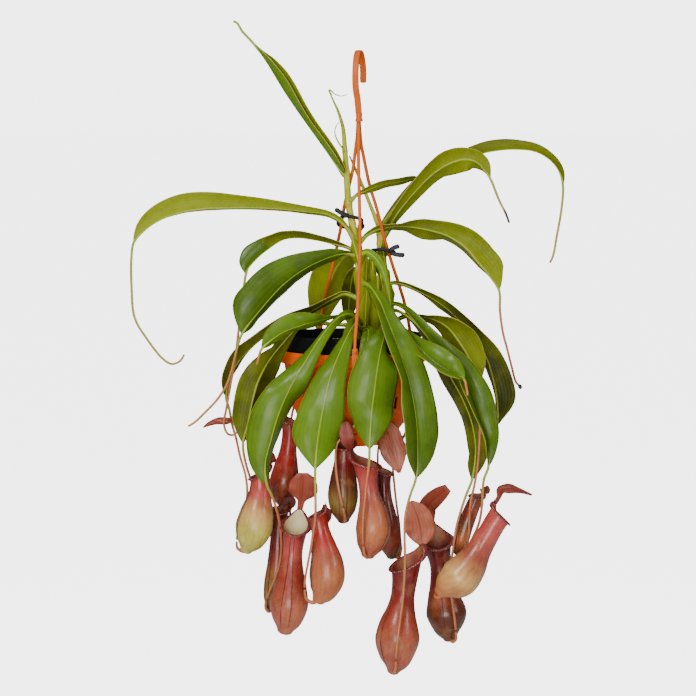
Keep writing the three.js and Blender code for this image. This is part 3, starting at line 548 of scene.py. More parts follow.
def smooth_to(piece, degrees):
    """Shades a piece smooth, but for the edges sharper than so many degrees."""
    only(piece)
    bpy.ops.object.shade_smooth_by_angle(angle=math.radians(degrees))


def mark(piece, name, value):
    """A number on every vertex, or a colour if the name is tone: value is a function of the vertex."""
    kind, field = ("FLOAT_COLOR", "color") if name == "tone" else ("FLOAT", "value")
    layer = piece.data.attributes.new(name, kind, "POINT")
    for vertex in piece.data.vertices:
        setattr(layer.data[vertex.index], field, value(vertex))


def stand_for(piece, node):
    """Puts a piece in the place of its node in the frame."""
    only(piece)
    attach(piece, "root")
    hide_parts(node)
    return piece


print("bench ready")

# %% [markdown]
# ## The leaves
# A pitcher plant's leaf is a long strap. It has a stalk that clasps the stem, widens to a blade
# with a folded midrib, and narrows again to the tendril. It could be cut from a plane and bent
# with a curve modifier, but the fold along the midrib changes all the way down, so each blade is
# laid ring by ring. rib and tendril are the points of its line, as far as the blade's tip and past
# it. wide gives its half width from base to tip in millimetres, and left and right say how many
# degrees each half is turned out of the elevation. under says over which share of the blade its
# lower side faces the front. shade is how light it is from base to tip, partly its own tone and
# partly painted shade and light: low on leaves that lie in shadow, high on backlit ones. ripe is
# how red its tendril gets. dry is the share of the tendril past which it has withered, and bud is
# the line of the small dark bud on its end.
#
# The numbers in wide, left and right were not all set by hand. A separate program worked them out
# beforehand, smoothed and rounded: from the blade's two edges, which were drawn by hand on the elevation,
# and from the folds of the frame's blade. leaf_05 and leaf_21 to leaf_24 have no drawn edges, so theirs
# come from the frame's blade alone. Only the widths of leaf_03, leaf_19 and leaf_21 were set one by one.

# %% The leaves' lines
# shade in these rows is partly each leaf's own tone and partly painted shade and light: leaf_14 is set dark
# for lying in shadow, and leaf_05 light for being backlit.
LEAVES = {
    "leaf_01": {
        "wide": (1.6, 8.7, 11.7, 11.5, 11.1, 12.1, 13.7, 13.3, 9.3, 3.8, 0.8),
        "left": (110, 112, 115, 117, 119, 122, 124, 126, 127, 128, 130),
        "right": (60, 52, 45, 38, 32, 28, 23, 21, 24, 27, 30), "under": (0, 1), "shade": (0.75, 0.6, 0.55),
        "ripe": 0.1,
        "rib": [(346.5, 178, 12.5), (333, 160, 9), (311, 130, 6), (286, 94, 4), (267, 63, 4), (253, 43, 5)],
        "tendril": [(242, 31, 6), (237, 23, 6), (232.5, 21, 5)],
    },
    "leaf_02": {
        "wide": (1.6, 3, 4, 4.7, 7.1, 11.8, 16.4, 18.4, 16.3, 10.4, 0.8),
        "left": (-60, -67, -54, -52, -76, -80, -80, -88, -90, -95, -100), "right": (30, 0), "under": (0, 1),
        "shade": (0.6, 0.7, 0.85), "ripe": 0.35,
        "rib": [(357, 246, 9), (348, 230, 3), (339, 220.5, 0), (327, 214.5, -1), (305, 211.5, -3),
            (270, 208.5, -5), (235, 208, -7), (205, 209, -9), (180, 213, -11), (158, 221.5, -13),
            (143, 232, -14), (134, 242, -14)],
        "tendril": [(131.5, 256, -14), (131.5, 286, -14), (134.7, 318, -14), (147, 339, -14),
            (163, 359, -13), (172, 364, -12), (180, 361, -11), (185, 353, -10)],
    },
    "leaf_03": {
        "wide": (1.6, 4, 7, 10, 12, 12, 12.5, 14, 16, 11, 0.8),
        "left": (-60, -77, -77, -96, -100, -100, -100, -100, -98, -96, -95),
        "right": (55, 55, 55, 54, 52, 50, 32, 0, 0, 2, 0), "under": (0, 0.66), "shade": (0.3, 0.35, 0.25),
        "ripe": 0.8,
        "rib": [(358, 251, 8), (347, 247.5, 10), (333, 244, 11), (317, 240.5, 12), (297, 238, 14),
            (283, 240, 16), (270, 248, 17), (257, 258, 17), (249, 267, 16), (246, 274, 15)],
        "tendril": [(243.5, 290, 12), (241, 312, 7), (238.5, 331, 2), (235, 361, -4), (231, 382, -7),
            (226.5, 408, -8), (224, 424, -6), (227.5, 433.5, -4), (233, 435, -2), (238.5, 430, 0),
            (239, 423, 2), (235, 419.5, 3)],
    },
    "leaf_04": {
        "wide": (1.6, 3.5, 5.1, 7, 10.9, 16.6, 22.6, 27.6, 28.7, 25.6, 0.8),
        "left": (-50, -55, -60, -49, -58, -68, -75, -73, -79, -85, -60),
        "right": (40, 32, 51, 18, 13, 10, 7, 5, 5, 5, 5), "shade": (0.25, 0.2, 0.3), "ripe": 0.8,
        "rib": [(357.5, 256, 7), (346, 253.5, 2), (333, 256, -3), (308, 267, -9), (284, 284, -13),
            (262, 308, -15), (242, 334, -14)],
        "tendril": [(238.5, 343, -14), (234, 361, -15), (230, 376, -16), (225, 388, -16), (216, 401, -16),
            (205.5, 412, -16), (195, 422, -16), (187, 427, -16)],
    },
    "leaf_05": {
        "wide": (1.6, 1.2, 3.5, 9.6, 16.3, 20.4, 21.6, 20.5, 17, 11.2, 0.8), "left": (-40, -30),
        "right": (0, 0), "under": (0, 1), "shade": (0.8, 0.85, 0.8), "ripe": 0.9,
        "rib": [(358.5, 254, 8), (351, 254, 27), (343, 259, 47), (335, 271, 62), (328, 289, 70),
            (323, 306, 74), (317, 330, 78)],
        "tendril": [(311, 350, 83), (301, 382, 79), (291, 420, 62), (289, 460, 44), (290, 510, 24),
            (292, 570, 4), (292, 606, -14), (290, 621, -26)],
    },
    "leaf_06": {
        "wide": (1.6, 4.5, 5.9, 8.3, 11.2, 13.1, 15.3, 16.5, 16, 14.6, 0.8),
        "left": (-55, -56, -57, -66, -77, -64, -85, -84, -82, -87, -60),
        "right": (55, 55, 57, 55, 55, 55, 53, 48, 56, 59, 60), "under": (0, 1), "shade": (0.45, 0.35, 0.3),
        "ripe": 0.8,
        "rib": [(361.5, 300, -1), (345, 294, 3), (331, 300, 7), (312, 311, 10), (285, 323, 13),
            (256, 344, 15), (239, 361, 16), (230, 379, 16), (226, 397, 15)],
        "tendril": [(229, 408, 14), (232, 424, 12), (236, 438, 6), (240, 456, -12), (246, 478, -30),
            (247, 497, -33), (242, 516, -29), (238, 531, -33), (236.5, 541, -42)],
    },
    "leaf_07": {
        "wide": (1.6, 1.6, 1.6, 1.6, 3.3, 7.7, 12.2, 14.3, 13.1, 9.2, 0.8),
        "left": (-30, -33, -36, -39, -42, -45, -71, -73, -64, -63, -40),
        "right": (10, 9, 8, 7, 6, 35, 6, 7, 8, 9, 10), "shade": (0.5, 0.55, 0.5), "ripe": 0.7,
        "rib": [(361.8, 316, -4), (345, 315, -22), (328, 318.5, -44), (304, 324.5, -63), (282, 333, -70),
            (262, 348.5, -71)],
        "tendril": [(259, 356, -71), (256.5, 366, -70)],
    },
    "leaf_08": {
        "wide": (1.6, 2, 2.4, 2.9, 5.7, 12.2, 17.2, 18.7, 18.2, 15.1, 0.8),
        "left": (-30, -32, -34, -36, -38, -40, -40, -45, -55, -59, -40),
        "right": (10, 8, 6, 4, 44, -71, -47, 0, 0, 0, 0), "under": (0, 1), "shade": (0.1, 0.1, 0.15),
        "ripe": 0.95,
        "rib": [(361.8, 324, -4), (340, 325, -12), (312, 323, -35), (298, 327, -56), (284, 342, -57),
            (270, 359, -56), (259, 380, -49), (253, 400, -49), (248, 424, -48), (243, 443, -45)],
        "tendril": [(245, 460, -38), (251, 480, -27), (257, 494, -15), (265, 503, -7)],
    },
    "leaf_09": {
        "wide": (1.6, 3.8, 5.4, 6.4, 8.8, 14.1, 21.1, 26.3, 24.3, 13.8, 0.8),
        "left": (10, 8, 6, 2, -4, -10, -57, -75, -80, -72, -60),
        "right": (-5, -5, -82, -80, -69, -40, -7, -9, -10, -10, -10), "shade": (0.5, 0.55, 0.4),
        "ripe": 0.95,
        "rib": [(362, 327, -4), (352, 315, -26), (338, 318, -55), (323, 334, -76), (306, 360, -76),
            (291, 386, -79), (279, 413, -81), (271, 440, -82), (265, 465, -81), (267, 485, -79)],
        "tendril": [(272, 496, -73), (278, 515, -62), (281, 535, -50), (281, 555, -40), (277, 573, -39),
            (270, 590, -37), (266, 600, -33)],
    },
    "leaf_10": {
        "wide": (1.6, 6.1, 6.5, 6.4, 9.3, 12.8, 15.4, 19.5, 23.5, 24.5, 0.8),
        "left": (-5, -6, -7, -8, -8, -8, -8, -8, -24, -39, -5),
        "right": (-5, -6, -7, -54, -54, -45, -27, -21, -7, -6, -5), "shade": (0.45, 0.5, 0.7), "ripe": 0.95,
        "rib": [(362, 332, -4), (356.5, 324, -30), (352, 328, -59), (346.5, 338, -76), (340, 352, -81),
            (333, 369, -86), (327, 389, -88), (322.5, 411, -88), (318, 438, -87), (315.2, 469, -86)],
        "tendril": [(315.4, 492, -86), (315.4, 516, -86), (313.3, 532, -84), (310.8, 548, -82),
            (307.6, 565, -79), (305, 580, -76), (304.6, 589, -73)],
    },
    "leaf_11": {
        "wide": (1.6, 2.4, 3.1, 5.6, 11.1, 17.2, 22.4, 26, 24.7, 18.7, 0.8),
        "left": (-5, -6, -7, -78, -70, -48, -24, -35, -33, -6, -5),
        "right": (-5, -6, -7, -8, -8, -8, -8, -8, -7, -27, -5), "shade": (0.45, 0.55), "ripe": 0.95,
        "rib": [(389, 329, 6), (388, 321, -18), (386.5, 324, -40), (384.6, 335, -69), (380.5, 351, -83),
            (377, 371, -88), (374, 394, -89), (371, 418, -89), (369.6, 449, -88)],
        "tendril": [(369, 464, -91), (367, 479, -91), (364.7, 501, -93), (363, 519, -95), (362.6, 536, -93),
            (363.3, 546, -88)],
    },
    "leaf_12": {
        "wide": (1.6, 3.9, 6.7, 10.8, 15.1, 18.4, 19.8, 20.7, 21.8, 21.5, 0.8),
        "left": (0, 0, 0, 0, 0, 0, 0, -7, -12, -30, 0),
        "right": (30, 36, 44, 54, 61, 66, 68, 58, 57, 56, 55), "shade": (0.55, 0.35, 0.3), "ripe": 0.9,
        "rib": [(361.5, 283, 1), (369, 286, -18), (379.5, 301, -42), (387.5, 321, -63), (395, 340, -78),
            (402, 360, -86), (408.5, 380, -90), (413, 400, -92), (416, 421, -93), (417.5, 448, -92),
            (416, 478, -90)],
        "tendril": [(411, 493, -95), (408, 503, -97), (405, 518, -99), (404.6, 537, -100), (405, 556, -99),
            (404.5, 576, -97), (403, 597, -97), (400, 621, -103), (397, 645, -104), (396, 661, -98)],
    },
    "leaf_13": {
        "wide": (1.6, 1.2, 1.2, 1.7, 5.9, 12.2, 16.6, 17.5, 16, 12.7, 0.8),
        "left": (20, 17, 14, 11, 8, 5, 4, 3, 2, -1, 0),
        "right": (60, 62, 64, 66, 2, 66, 77, 82, 82, 82, 70), "shade": (0.35, 0.5, 0.6), "ripe": 0.9,
        "rib": [(388.5, 318, 10), (396, 321, -24), (408, 333, -54), (422, 351, -72), (437, 365, -82),
            (451, 373, -88), (464, 379.5, -90)],
        "tendril": [(466.5, 388, -93), (468, 397, -94)],
    },
    "leaf_14": {
        "wide": (1.6, 1.7, 1.8, 3.8, 7.9, 9.9, 9.5, 9.2, 10.1, 12.5, 0.8),
        "left": (-20, -21, -22, -23, -68, -51, -43, -23, -22, -21, -20),
        "right": (0, -2, -4, -6, -8, -10, -10, -29, -39, -63, -10), "under": (0, 1),
        "shade": (0.0, 0.0, 0.1), "ripe": 0.95,
        "rib": [(388, 312, 12), (398, 311, -12), (414, 322, -27), (434, 347, -38), (450, 376, -46),
            (463, 400, -52), (472, 424, -58), (475.5, 450, -61), (472, 480, -64)],
        "tendril": [(466.5, 494, -66), (460.5, 512, -67), (456, 529, -67), (453.5, 546, -67),
            (451, 565, -67), (450.5, 585, -69), (452, 602, -71), (454.5, 618, -72), (456, 632, -67)],
    },
    "leaf_15": {
        "wide": (1.6, 3.2, 5, 7, 8.9, 12.7, 18.7, 22.4, 19.9, 13, 0.8),
        "left": (40, 32, 25, 18, 13, 10, 7, 5, 3, 2, 0),
        "right": (60, 66, 79, 82, 72, 69, 80, 85, 87, 88, 70), "shade": (0.3, 0.3, 0.25), "ripe": 0.95,
        "rib": [(388.2, 305, 14), (397, 304.5, -14), (408, 312.5, -32), (424, 330, -44), (442, 350, -53),
            (457, 369, -60), (468, 394, -68), (476, 417, -76), (485, 441, -80), (488.5, 466, -81)],
        "tendril": [(483.8, 480, -80), (482, 505, -78), (479, 523, -75), (471, 541, -71), (462, 557, -70),
            (452, 572, -71), (442, 585, -77), (437, 592.5, -86)],
    },
    "leaf_16": {
        "wide": (1.6, 2.4, 3.2, 4.4, 8, 13.7, 17.8, 19.2, 17.2, 11, 0.8),
        "left": (20, 16, 13, 61, 68, 56, 39, 5, 3, 2, 0),
        "right": (-30, -34, -37, -41, -44, -46, -48, -59, -70, -65, -50), "under": (0, 1),
        "shade": (0.15, 0.3, 0.5), "ripe": 0.95,
        "rib": [(388.8, 324, 8), (397, 320, -4), (409, 315.5, -12), (422, 317, -20), (435, 320, -26),
            (448, 328, -31), (458, 341, -35), (467, 355, -38), (475, 368, -42), (480, 380, -46)],
        "tendril": [(481, 400, -60), (480, 430, -69), (478, 462, -71), (474.5, 485, -71), (471, 500, -70),
            (469.5, 517, -69), (469, 531, -67), (466, 545, -62)],
    },
    "leaf_17": {
        "wide": (1.6, 3.7, 5.5, 6.9, 8.9, 10.5, 11.6, 15.6, 19.1, 18.2, 0.8),
        "left": (60, 59, 58, 55, 50, 45, 31, 17, 8, 4, 0),
        "right": (-60, -59, -67, -74, -58, -75, -62, -77, -83, -86, -80), "under": (0, 1),
        "shade": (0.3, 0.1, 0.0),
        "rib": [(385.2, 285, 19), (393, 283, 14), (403, 284.5, 10), (420, 292, 5), (440, 303.5, 1),
            (458, 319, -2), (474, 337, -5), (486, 357, -7), (493, 380, -9), (497, 402, -9),
            (498.5, 424, -7)],
    },
    "leaf_18": {
        "wide": (1.6, 3.1, 4.6, 7.3, 9.9, 10.9, 13.8, 18.6, 20.6, 18.2, 0.8),
        "left": (30, 30, 30, 64, 71, 20, 14, 8, 0, 2, 0),
        "right": (-60, -60, -60, -60, -61, -16, -66, -75, -85, -88, -85), "under": (0, 1),
        "shade": (0.2, 0.3, 0.7), "ripe": 0.95,
        "bud": ((518.5, 384.3, 5), (520, 386.5, 5), (520.8, 389.5, 5)),
        "rib": [(357, 246, 9), (365, 237, 16), (374, 231.3, 22.6), (384, 228, 23.4), (396, 226.5, 22),
            (414, 227.5, 18), (432, 231, 16), (448, 236.5, 13), (464, 247, 11), (479, 264, 10),
            (490, 277, 9), (499, 290, 8)],
        "tendril": [(500, 311, 8), (503, 333, 8), (507, 348, 8), (511.5, 366, 7), (516, 382, 6),
            (520, 386.5, 5)],
    },
    "leaf_19": {
        "wide": (1.6, 4.8, 7.9, 11, 14.5, 16, 14, 12, 11, 8.5, 0.8),
        "left": (25, 25, 50, 48, 46, 36, 16, 12, 8, 4, 0),
        "right": (-40, -44, -48, -51, -53, -54, -26, 0, -49, -79, -80), "under": (0, 1),
        "shade": (0.5, 0.6, 0.5), "ripe": 0.3, "dry": 0.55,
        "rib": [(380.4, 247, 30.5), (387, 231, 38), (397, 214, 36), (415, 192, 33), (432, 175, 31),
            (449, 164, 31), (464, 159.5, 30), (475, 161.5, 29), (483, 168.5, 29), (490, 178, 29)],
        "tendril": [(499, 200, 29), (506, 214, 29), (510, 225, 29)],
    },
    "leaf_20": {
        "wide": (1.6, 3.8, 6, 8.2, 11.3, 14.6, 15.2, 13, 10, 7.7, 0.8),
        "left": (-30, -34, -37, -41, -43, -44, -44, -45, -45, -45, -45), "right": (-100, -100),
        "under": (0, 1), "shade": (0.3, 0.35, 0.3), "ripe": 0.3, "dry": 0.88,
        "rib": [(379.5, 233, 34), (385, 221, 48), (409, 191, 53), (432, 172, 54), (455, 160, 52),
            (472, 156, 50), (492, 151.5, 48), (514, 149.5, 46), (536, 152, 44), (551, 161, 43),
            (560, 173.5, 42), (563, 186, 41)],
        "tendril": [(561.5, 209, 41), (557, 235, 41), (553, 256, 40), (549, 264.5, 39)],
    },
    "leaf_21": {
        "wide": (1.2, 2, 3, 4.6, 5.6, 6.2, 6.4, 6, 5, 3, 0.8),
        "left": (40, 42, 44, 46, 48, 50, 51, 52, 53, 54, 55),
        "right": (-40, -42, -44, -46, -48, -50, -51, -52, -53, -54, -55), "under": (0, 1),
        "shade": (0.5, 0.5, 0.3),
        "rib": [(348.4, 203, 12.5), (357, 195, 8), (365, 191.3, 6), (374, 187.7, 6), (386, 184, 15),
            (400, 181.5, 28), (413, 178.5, 40), (420, 177, 43)],
    },
    "leaf_22": {
        "wide": (1.6, 1.8, 3.6, 6.1, 8, 8.8, 8.8, 8.1, 6.6, 4.2, 0.8), "under": (0, 1),
        "shade": (0.2, 0.2, 0.1),
        "rib": [(360.5, 265, 4), (354, 272, 22), (350.5, 288, 40), (349, 306, 52), (348, 324, 58)],
    },
    "leaf_23": {
        "wide": (1.6, 1.5, 2.8, 4.8, 6.2, 6.8, 6.8, 6.3, 5.1, 3.3, 0.8), "shade": (0.4, 0.2), "ripe": 0.95,
        "rib": [(362, 336, -4), (366, 329, -28), (368.5, 331, -55), (367.5, 341, -74), (365, 362, -79),
            (363, 385, -79), (361, 405, -76), (358.5, 418, -72)],
        "tendril": [(353, 428, -70), (345, 436, -72), (337.5, 443, -73), (335.5, 456, -74),
            (336.7, 476, -75), (339.5, 493, -77), (343, 508, -75.5)],
    },
    "leaf_24": {
        "wide": (2.4, 4.2, 4.4, 3.6, 1.2, 1.2, 1.2, 4.2, 6.9, 7.2, 0.8), "shade": (1.0, 0.8, 0.3, 0.1),
        "ripe": 0.95,
        "rib": [(358.5, 257, 7), (367, 252.5, 0), (375, 258, -6), (381.5, 267, -13), (386, 281, -22),
            (389.5, 298, -32), (393, 317, -42), (398, 333, -56), (404, 350, -62), (409, 370, -62),
            (412, 395, -59), (411, 414, -54)],
        "tendril": [(407, 429, -45), (401, 442, -38), (395, 456, -32), (393, 468, -30), (394.3, 484, -31),
            (396.3, 503, -33), (399, 522, -34), (400.5, 541, -37)],
    },
}
print("leaves:", len(LEAVES))

# %% Blade shape
DEPTHWISE = Vector((0, 1, 0))
BLADE_ACROSS = 16
BLADE_ALONG = 52
BLADE_START = 0.06      # the share of the line below which a leaf is only stalk
BLADE_THICK = 0.55 * MM
STALK_RADIUS = 1.7 * MM
CLASP = 1.1 * MM        # how much thicker the stalk is where it clasps the stem
RIB_RADIUS = 0.45 * MM
TENDRIL_RADIUS = 1.25 * MM
SOFTENING = 3           # rounds in which each row's direction is evened with its neighbours'
SWELL = 0.1             # how far a half blade bulges, as a share of its width
WAVE = 0.045            # how far its edge waves, as a share of its width
WAVES = 3.2
WAVE_SHIFT = 1.7        # from one leaf to the next, in waves
HALF_SHIFT = 0.25       # either way between the two halves
FRONT_SHELL = 1         # the material index of Solidify's new shell, which faces the viewer


def blade_frames(route, tip, steps, first):
    """For each row of a blade: its share of the blade, place, direction and width direction."""
    frames = []
    for i in range(steps + 1):
        share = first + (1 - first) * i / steps
        along = route.along(tip * share)
        frames.append([share, route.at(tip * share), along, along.cross(DEPTHWISE).normalized()])
    for _ in range(SOFTENING):
        turned = [frame[3] for frame in frames]
        for i in range(1, steps):
            near = turned[i - 1] + 2 * turned[i] + turned[i + 1]
            along = frames[i][2]
            if near.length > 1e-3:
                frames[i][3] = (near - along * near.dot(along)).normalized()
    return frames


def blade(name, route, tip, spec, thick, skins, seed, first=0.0, columns=BLADE_ACROSS, rows=BLADE_ALONG,
          wave=WAVE):
    """The thin part of a leaf or lid, from its share first to its tip."""
    frames = blade_frames(route, tip, rows, first)
    under = spec.get("under", (1, 1))
    halves = {1: spec.get("left", (0, 0)), -1: spec.get("right", (0, 0))}

    def place(step, side):
        share, spot, along, across = frames[round(step * rows)]
        front = along.cross(across)
        sign = 1 if side > 0 else -1
        turn = math.radians(keyed(halves[sign], share))
        out = across * (sign * math.cos(turn)) + front * math.sin(turn)
        face = across * (-sign * math.sin(turn)) + front * math.cos(turn)
        width = eased(spec["wide"], share) * MM
        off = abs(side)
        upper = -1 if under[0] <= share <= under[1] else 1
        swell = SWELL * width * math.sin(math.pi * off) * upper
        waves = share * WAVES + seed * WAVE_SHIFT + sign * HALF_SHIFT
        ripple = wave * width * off * off * math.sin(FULL * waves)
        return spot + out * (width * off) + face * (swell + ripple)

    def lightness(vertex):
        row = vertex.index // (columns + 1)
        return keyed(spec.get("shade", (0.5, 0.5)), first + (1 - first) * row / rows)

    piece = sheet(name, columns, rows, place)
    colour_with(piece, *skins)
    mark(piece, "shade", lightness)
    modify(piece, "SOLIDIFY", thickness=thick, offset=0, use_even_offset=False, material_offset=1)
    return piece


def skin_sides(piece, first, under):
    """Gives each face the upper or lower skin, from the shell it is on and where it lies."""
    uv = piece.data.uv_layers[0].data
    for face in piece.data.polygons:
        share = first + (1 - first) * uv[face.loop_start].uv.y
        flipped = under[0] <= share <= under[1]
        front = face.material_index == FRONT_SHELL
        face.material_index = 0 if front != flipped else 1


# %% Make the leaves
MARKS = 80              # places along a line at which its ripeness is read
NEVER = (2, 2)          # no share of a blade lies past its end
UNRIPE = 0.1            # how ripe a line with no tendril is
BUD_RADIUS = 2.1 * MM


def line_radius(t, tip):
    """The radius of a leaf's line: a clasping stalk, a thin midrib, then the tendril."""
    share = t / tip
    if share > 1:
        return TENDRIL_RADIUS * (1.1 - 0.15 * (t - tip) / (1 - tip))
    stalk = (STALK_RADIUS - RIB_RADIUS) * (1 - smooth(share, 0.05, 0.32))
    end = (TENDRIL_RADIUS * 1.1 - RIB_RADIUS) * smooth(share, 0.85, 1)
    return RIB_RADIUS + stalk + end + CLASP * (1 - smooth(share, 0, 0.12))


def leaf(name, spec, number):
    rib, tendril = spec["rib"], spec.get("tendril", [])
    route = Route(rib + tendril)
    tip = (len(rib) - 1) / (len(rib) + len(tendril) - 1)
    skins = (LEAF_UPPER, LEAF_UNDER)
    thin = blade(name + "_blade", route, tip, spec, BLADE_THICK, skins, number, BLADE_START)
    skin_sides(thin, BLADE_START, spec.get("under", NEVER))
    only(thin)
    bpy.ops.object.shade_smooth()

    taper = 0 if tendril else 0.3
    steps = 30 + 7 * len(tendril)
    line = rod(name + "_rib", route, lambda t: line_radius(t, tip) * (1 - taper * t), 10, steps)
    colour_with(line, STALK)
    spots = [route.at(i / MARKS) for i in range(MARKS + 1)]

    def ripeness(vertex):
        near = min(range(MARKS + 1), key=lambda i: (spots[i] - vertex.co).length_squared) / MARKS
        if not tendril:
            return UNRIPE
        if near > tip + (1 - tip) * spec.get("dry", 1.01):
            return DRY
        return spec["ripe"] * smooth(near, tip * 0.98, tip + (1 - tip) * 0.3)

    mark(line, "ripe", ripeness)
    parts = [thin, line]
    if "bud" in spec:
        bud = rod(name + "_bud", Route(spec["bud"]),
                  lambda t: BUD_RADIUS * math.sin(math.pi * (0.15 + 0.7 * t)), 14, 16)
        mark(bud, "ripe", lambda vertex: DRY)
        colour_with(bud, STALK)
        parts.append(bud)
    return stand_for(join(parts, name + "_grown"), name)


leaf_pieces = [leaf(name, spec, number) for number, (name, spec) in enumerate(LEAVES.items())]
print("leaf triangles:", sum(len(piece.data.polygons) for piece in leaf_pieces) * 2)

# %% [markdown]
# ## Pitcher skin
# A pitcher is waxy and blotched. Its bulb is yellow green to russet and its neck is rose to
# wine red, so each body carries a tone attribute that runs through the colour names of its row
# from base to mouth. Over it lie dark streaks that run up the wall, wine-red dots and paler
# patches. The inside is reddish or, by a second attribute, cream. The ribbed rim is dark and
# glossy, and the lid has a red keel.

# %% Pitcher materials
TONES = {
    "lime": "c0b44a", "straw": "cc9e58", "amber": "b4683c", "tan": "a8563c", "russet": "90341f",
    "rose": "aa221c", "maroon": "701412", "wine": "480b0c", "brown": "562c14", "olive": "7c6428",
    "blush": "b84840",
}


def pitcher_skin():
    skin = Finish("pitcher_wall", coat=0.26, coat_roughness=0.14, specular=0.3)
    colour = skin.blotch(skin.attribute("tone", "Color"), "5a1a16", 0.4, 42, 0.44, 0.66)
    colour = skin.blotch(colour, "b9824c", 0.28, 75, 0.52, 0.72)
    colour = skin.streak(colour, "4a1212", 0.16, skin.use(LINES, Position=skin.uv("X"), Count=18, Wander=2.6))
    dots = skin.use(DOTS, Scale=520, Size=0.3, Stretch=(1, 1, 0.6))
    skin.set("Base Color", skin.mix(skin.times(dots, 0.35), colour, paint("3f0f10")))
    skin.vary_roughness(80, 0.26, 0.4)
    skin.bump(skin.patches(150, 0.3, 0.7), 0.0003, 0.5)
    return skin.material


def pitcher_inside():
    skin = Finish("pitcher_inner_wall", specular=0.3)
    colour = skin.mix(skin.attribute("cream"), paint("8c4436"), paint("d8cc9c"))
    dots = skin.use(DOTS, Scale=520, Size=0.3)
    colour = skin.mix(skin.times(dots, 0.3), colour, paint("8a3a30"))
    skin.set("Base Color", skin.blotch(colour, "b89458", 0.3, 60))
    return skin.material


def rim_skin():
    skin = Finish("ribbed_rim", roughness=0.22, coat=0.6)
    ribs = skin.use(LINES, Position=skin.uv("Y"), Count=60, Wander=0.1)
    skin.set("Base Color", skin.mix(ribs, paint("421012"), paint("8e2f2a")))
    skin.bump(ribs, 0.0002)
    return skin.material


def lid_skin(name, washed):
    skin = Finish(name, roughness=0.45, coat=0.12, coat_roughness=0.3, specular=0.35)
    colour = skin.mix(washed, skin.attribute("tone", "Color"), paint("c07a58"))
    colour = skin.blotch(colour, "6a2a1c", 0.4, 70, 0.42, 0.64)
    veins = skin.use(LINES, Position=skin.uv("X"), Count=9, Wander=1.2)
    colour = skin.streak(colour, "6a221c", 0.25, veins)
    off_keel = skin.off_middle()
    colour = skin.mix(skin.spread(off_keel, 0.015, 0.05, 0.7, 0), colour, paint("7e1f18"))
    skin.set("Base Color", skin.mix(skin.spread(off_keel, 0.46, 0.5, 0, 0.6), colour, paint("5e1714")))
    skin.bump(veins, 0.00025, 0.6)
    return skin.material


PITCHER_WALL_SKIN, PITCHER_INSIDE, RIM = pitcher_skin(), pitcher_inside(), rim_skin()
LID_TOP, LID_UNDER = lid_skin("lid_top", 0.12), lid_skin("lid_underside", 0.3)
print("pitcher materials made")

# %% [markdown]
# ## The pitchers
# Each row gives the pitcher's axis from base to mouth with a radius at every point, the bearing
# of the low side of its mouth, the slant of the mouth, the end of its tendril and its lid. The
# lid has its half width in millimetres, the points of its line and, if it isn't a plain oval, its
# outline as shares of that width. tones are the colours from base to mouth. The body is a tube
# given a wall with Solidify: it could be turned on a lathe, but its axis bends and its mouth
# slants, so every ring is set square to the axis and slid along it. A ring of ribs follows the
# mouth, which climbs to a point at the back. Two thin wings run up the front, and the lid and
# its small spur stand on the point.

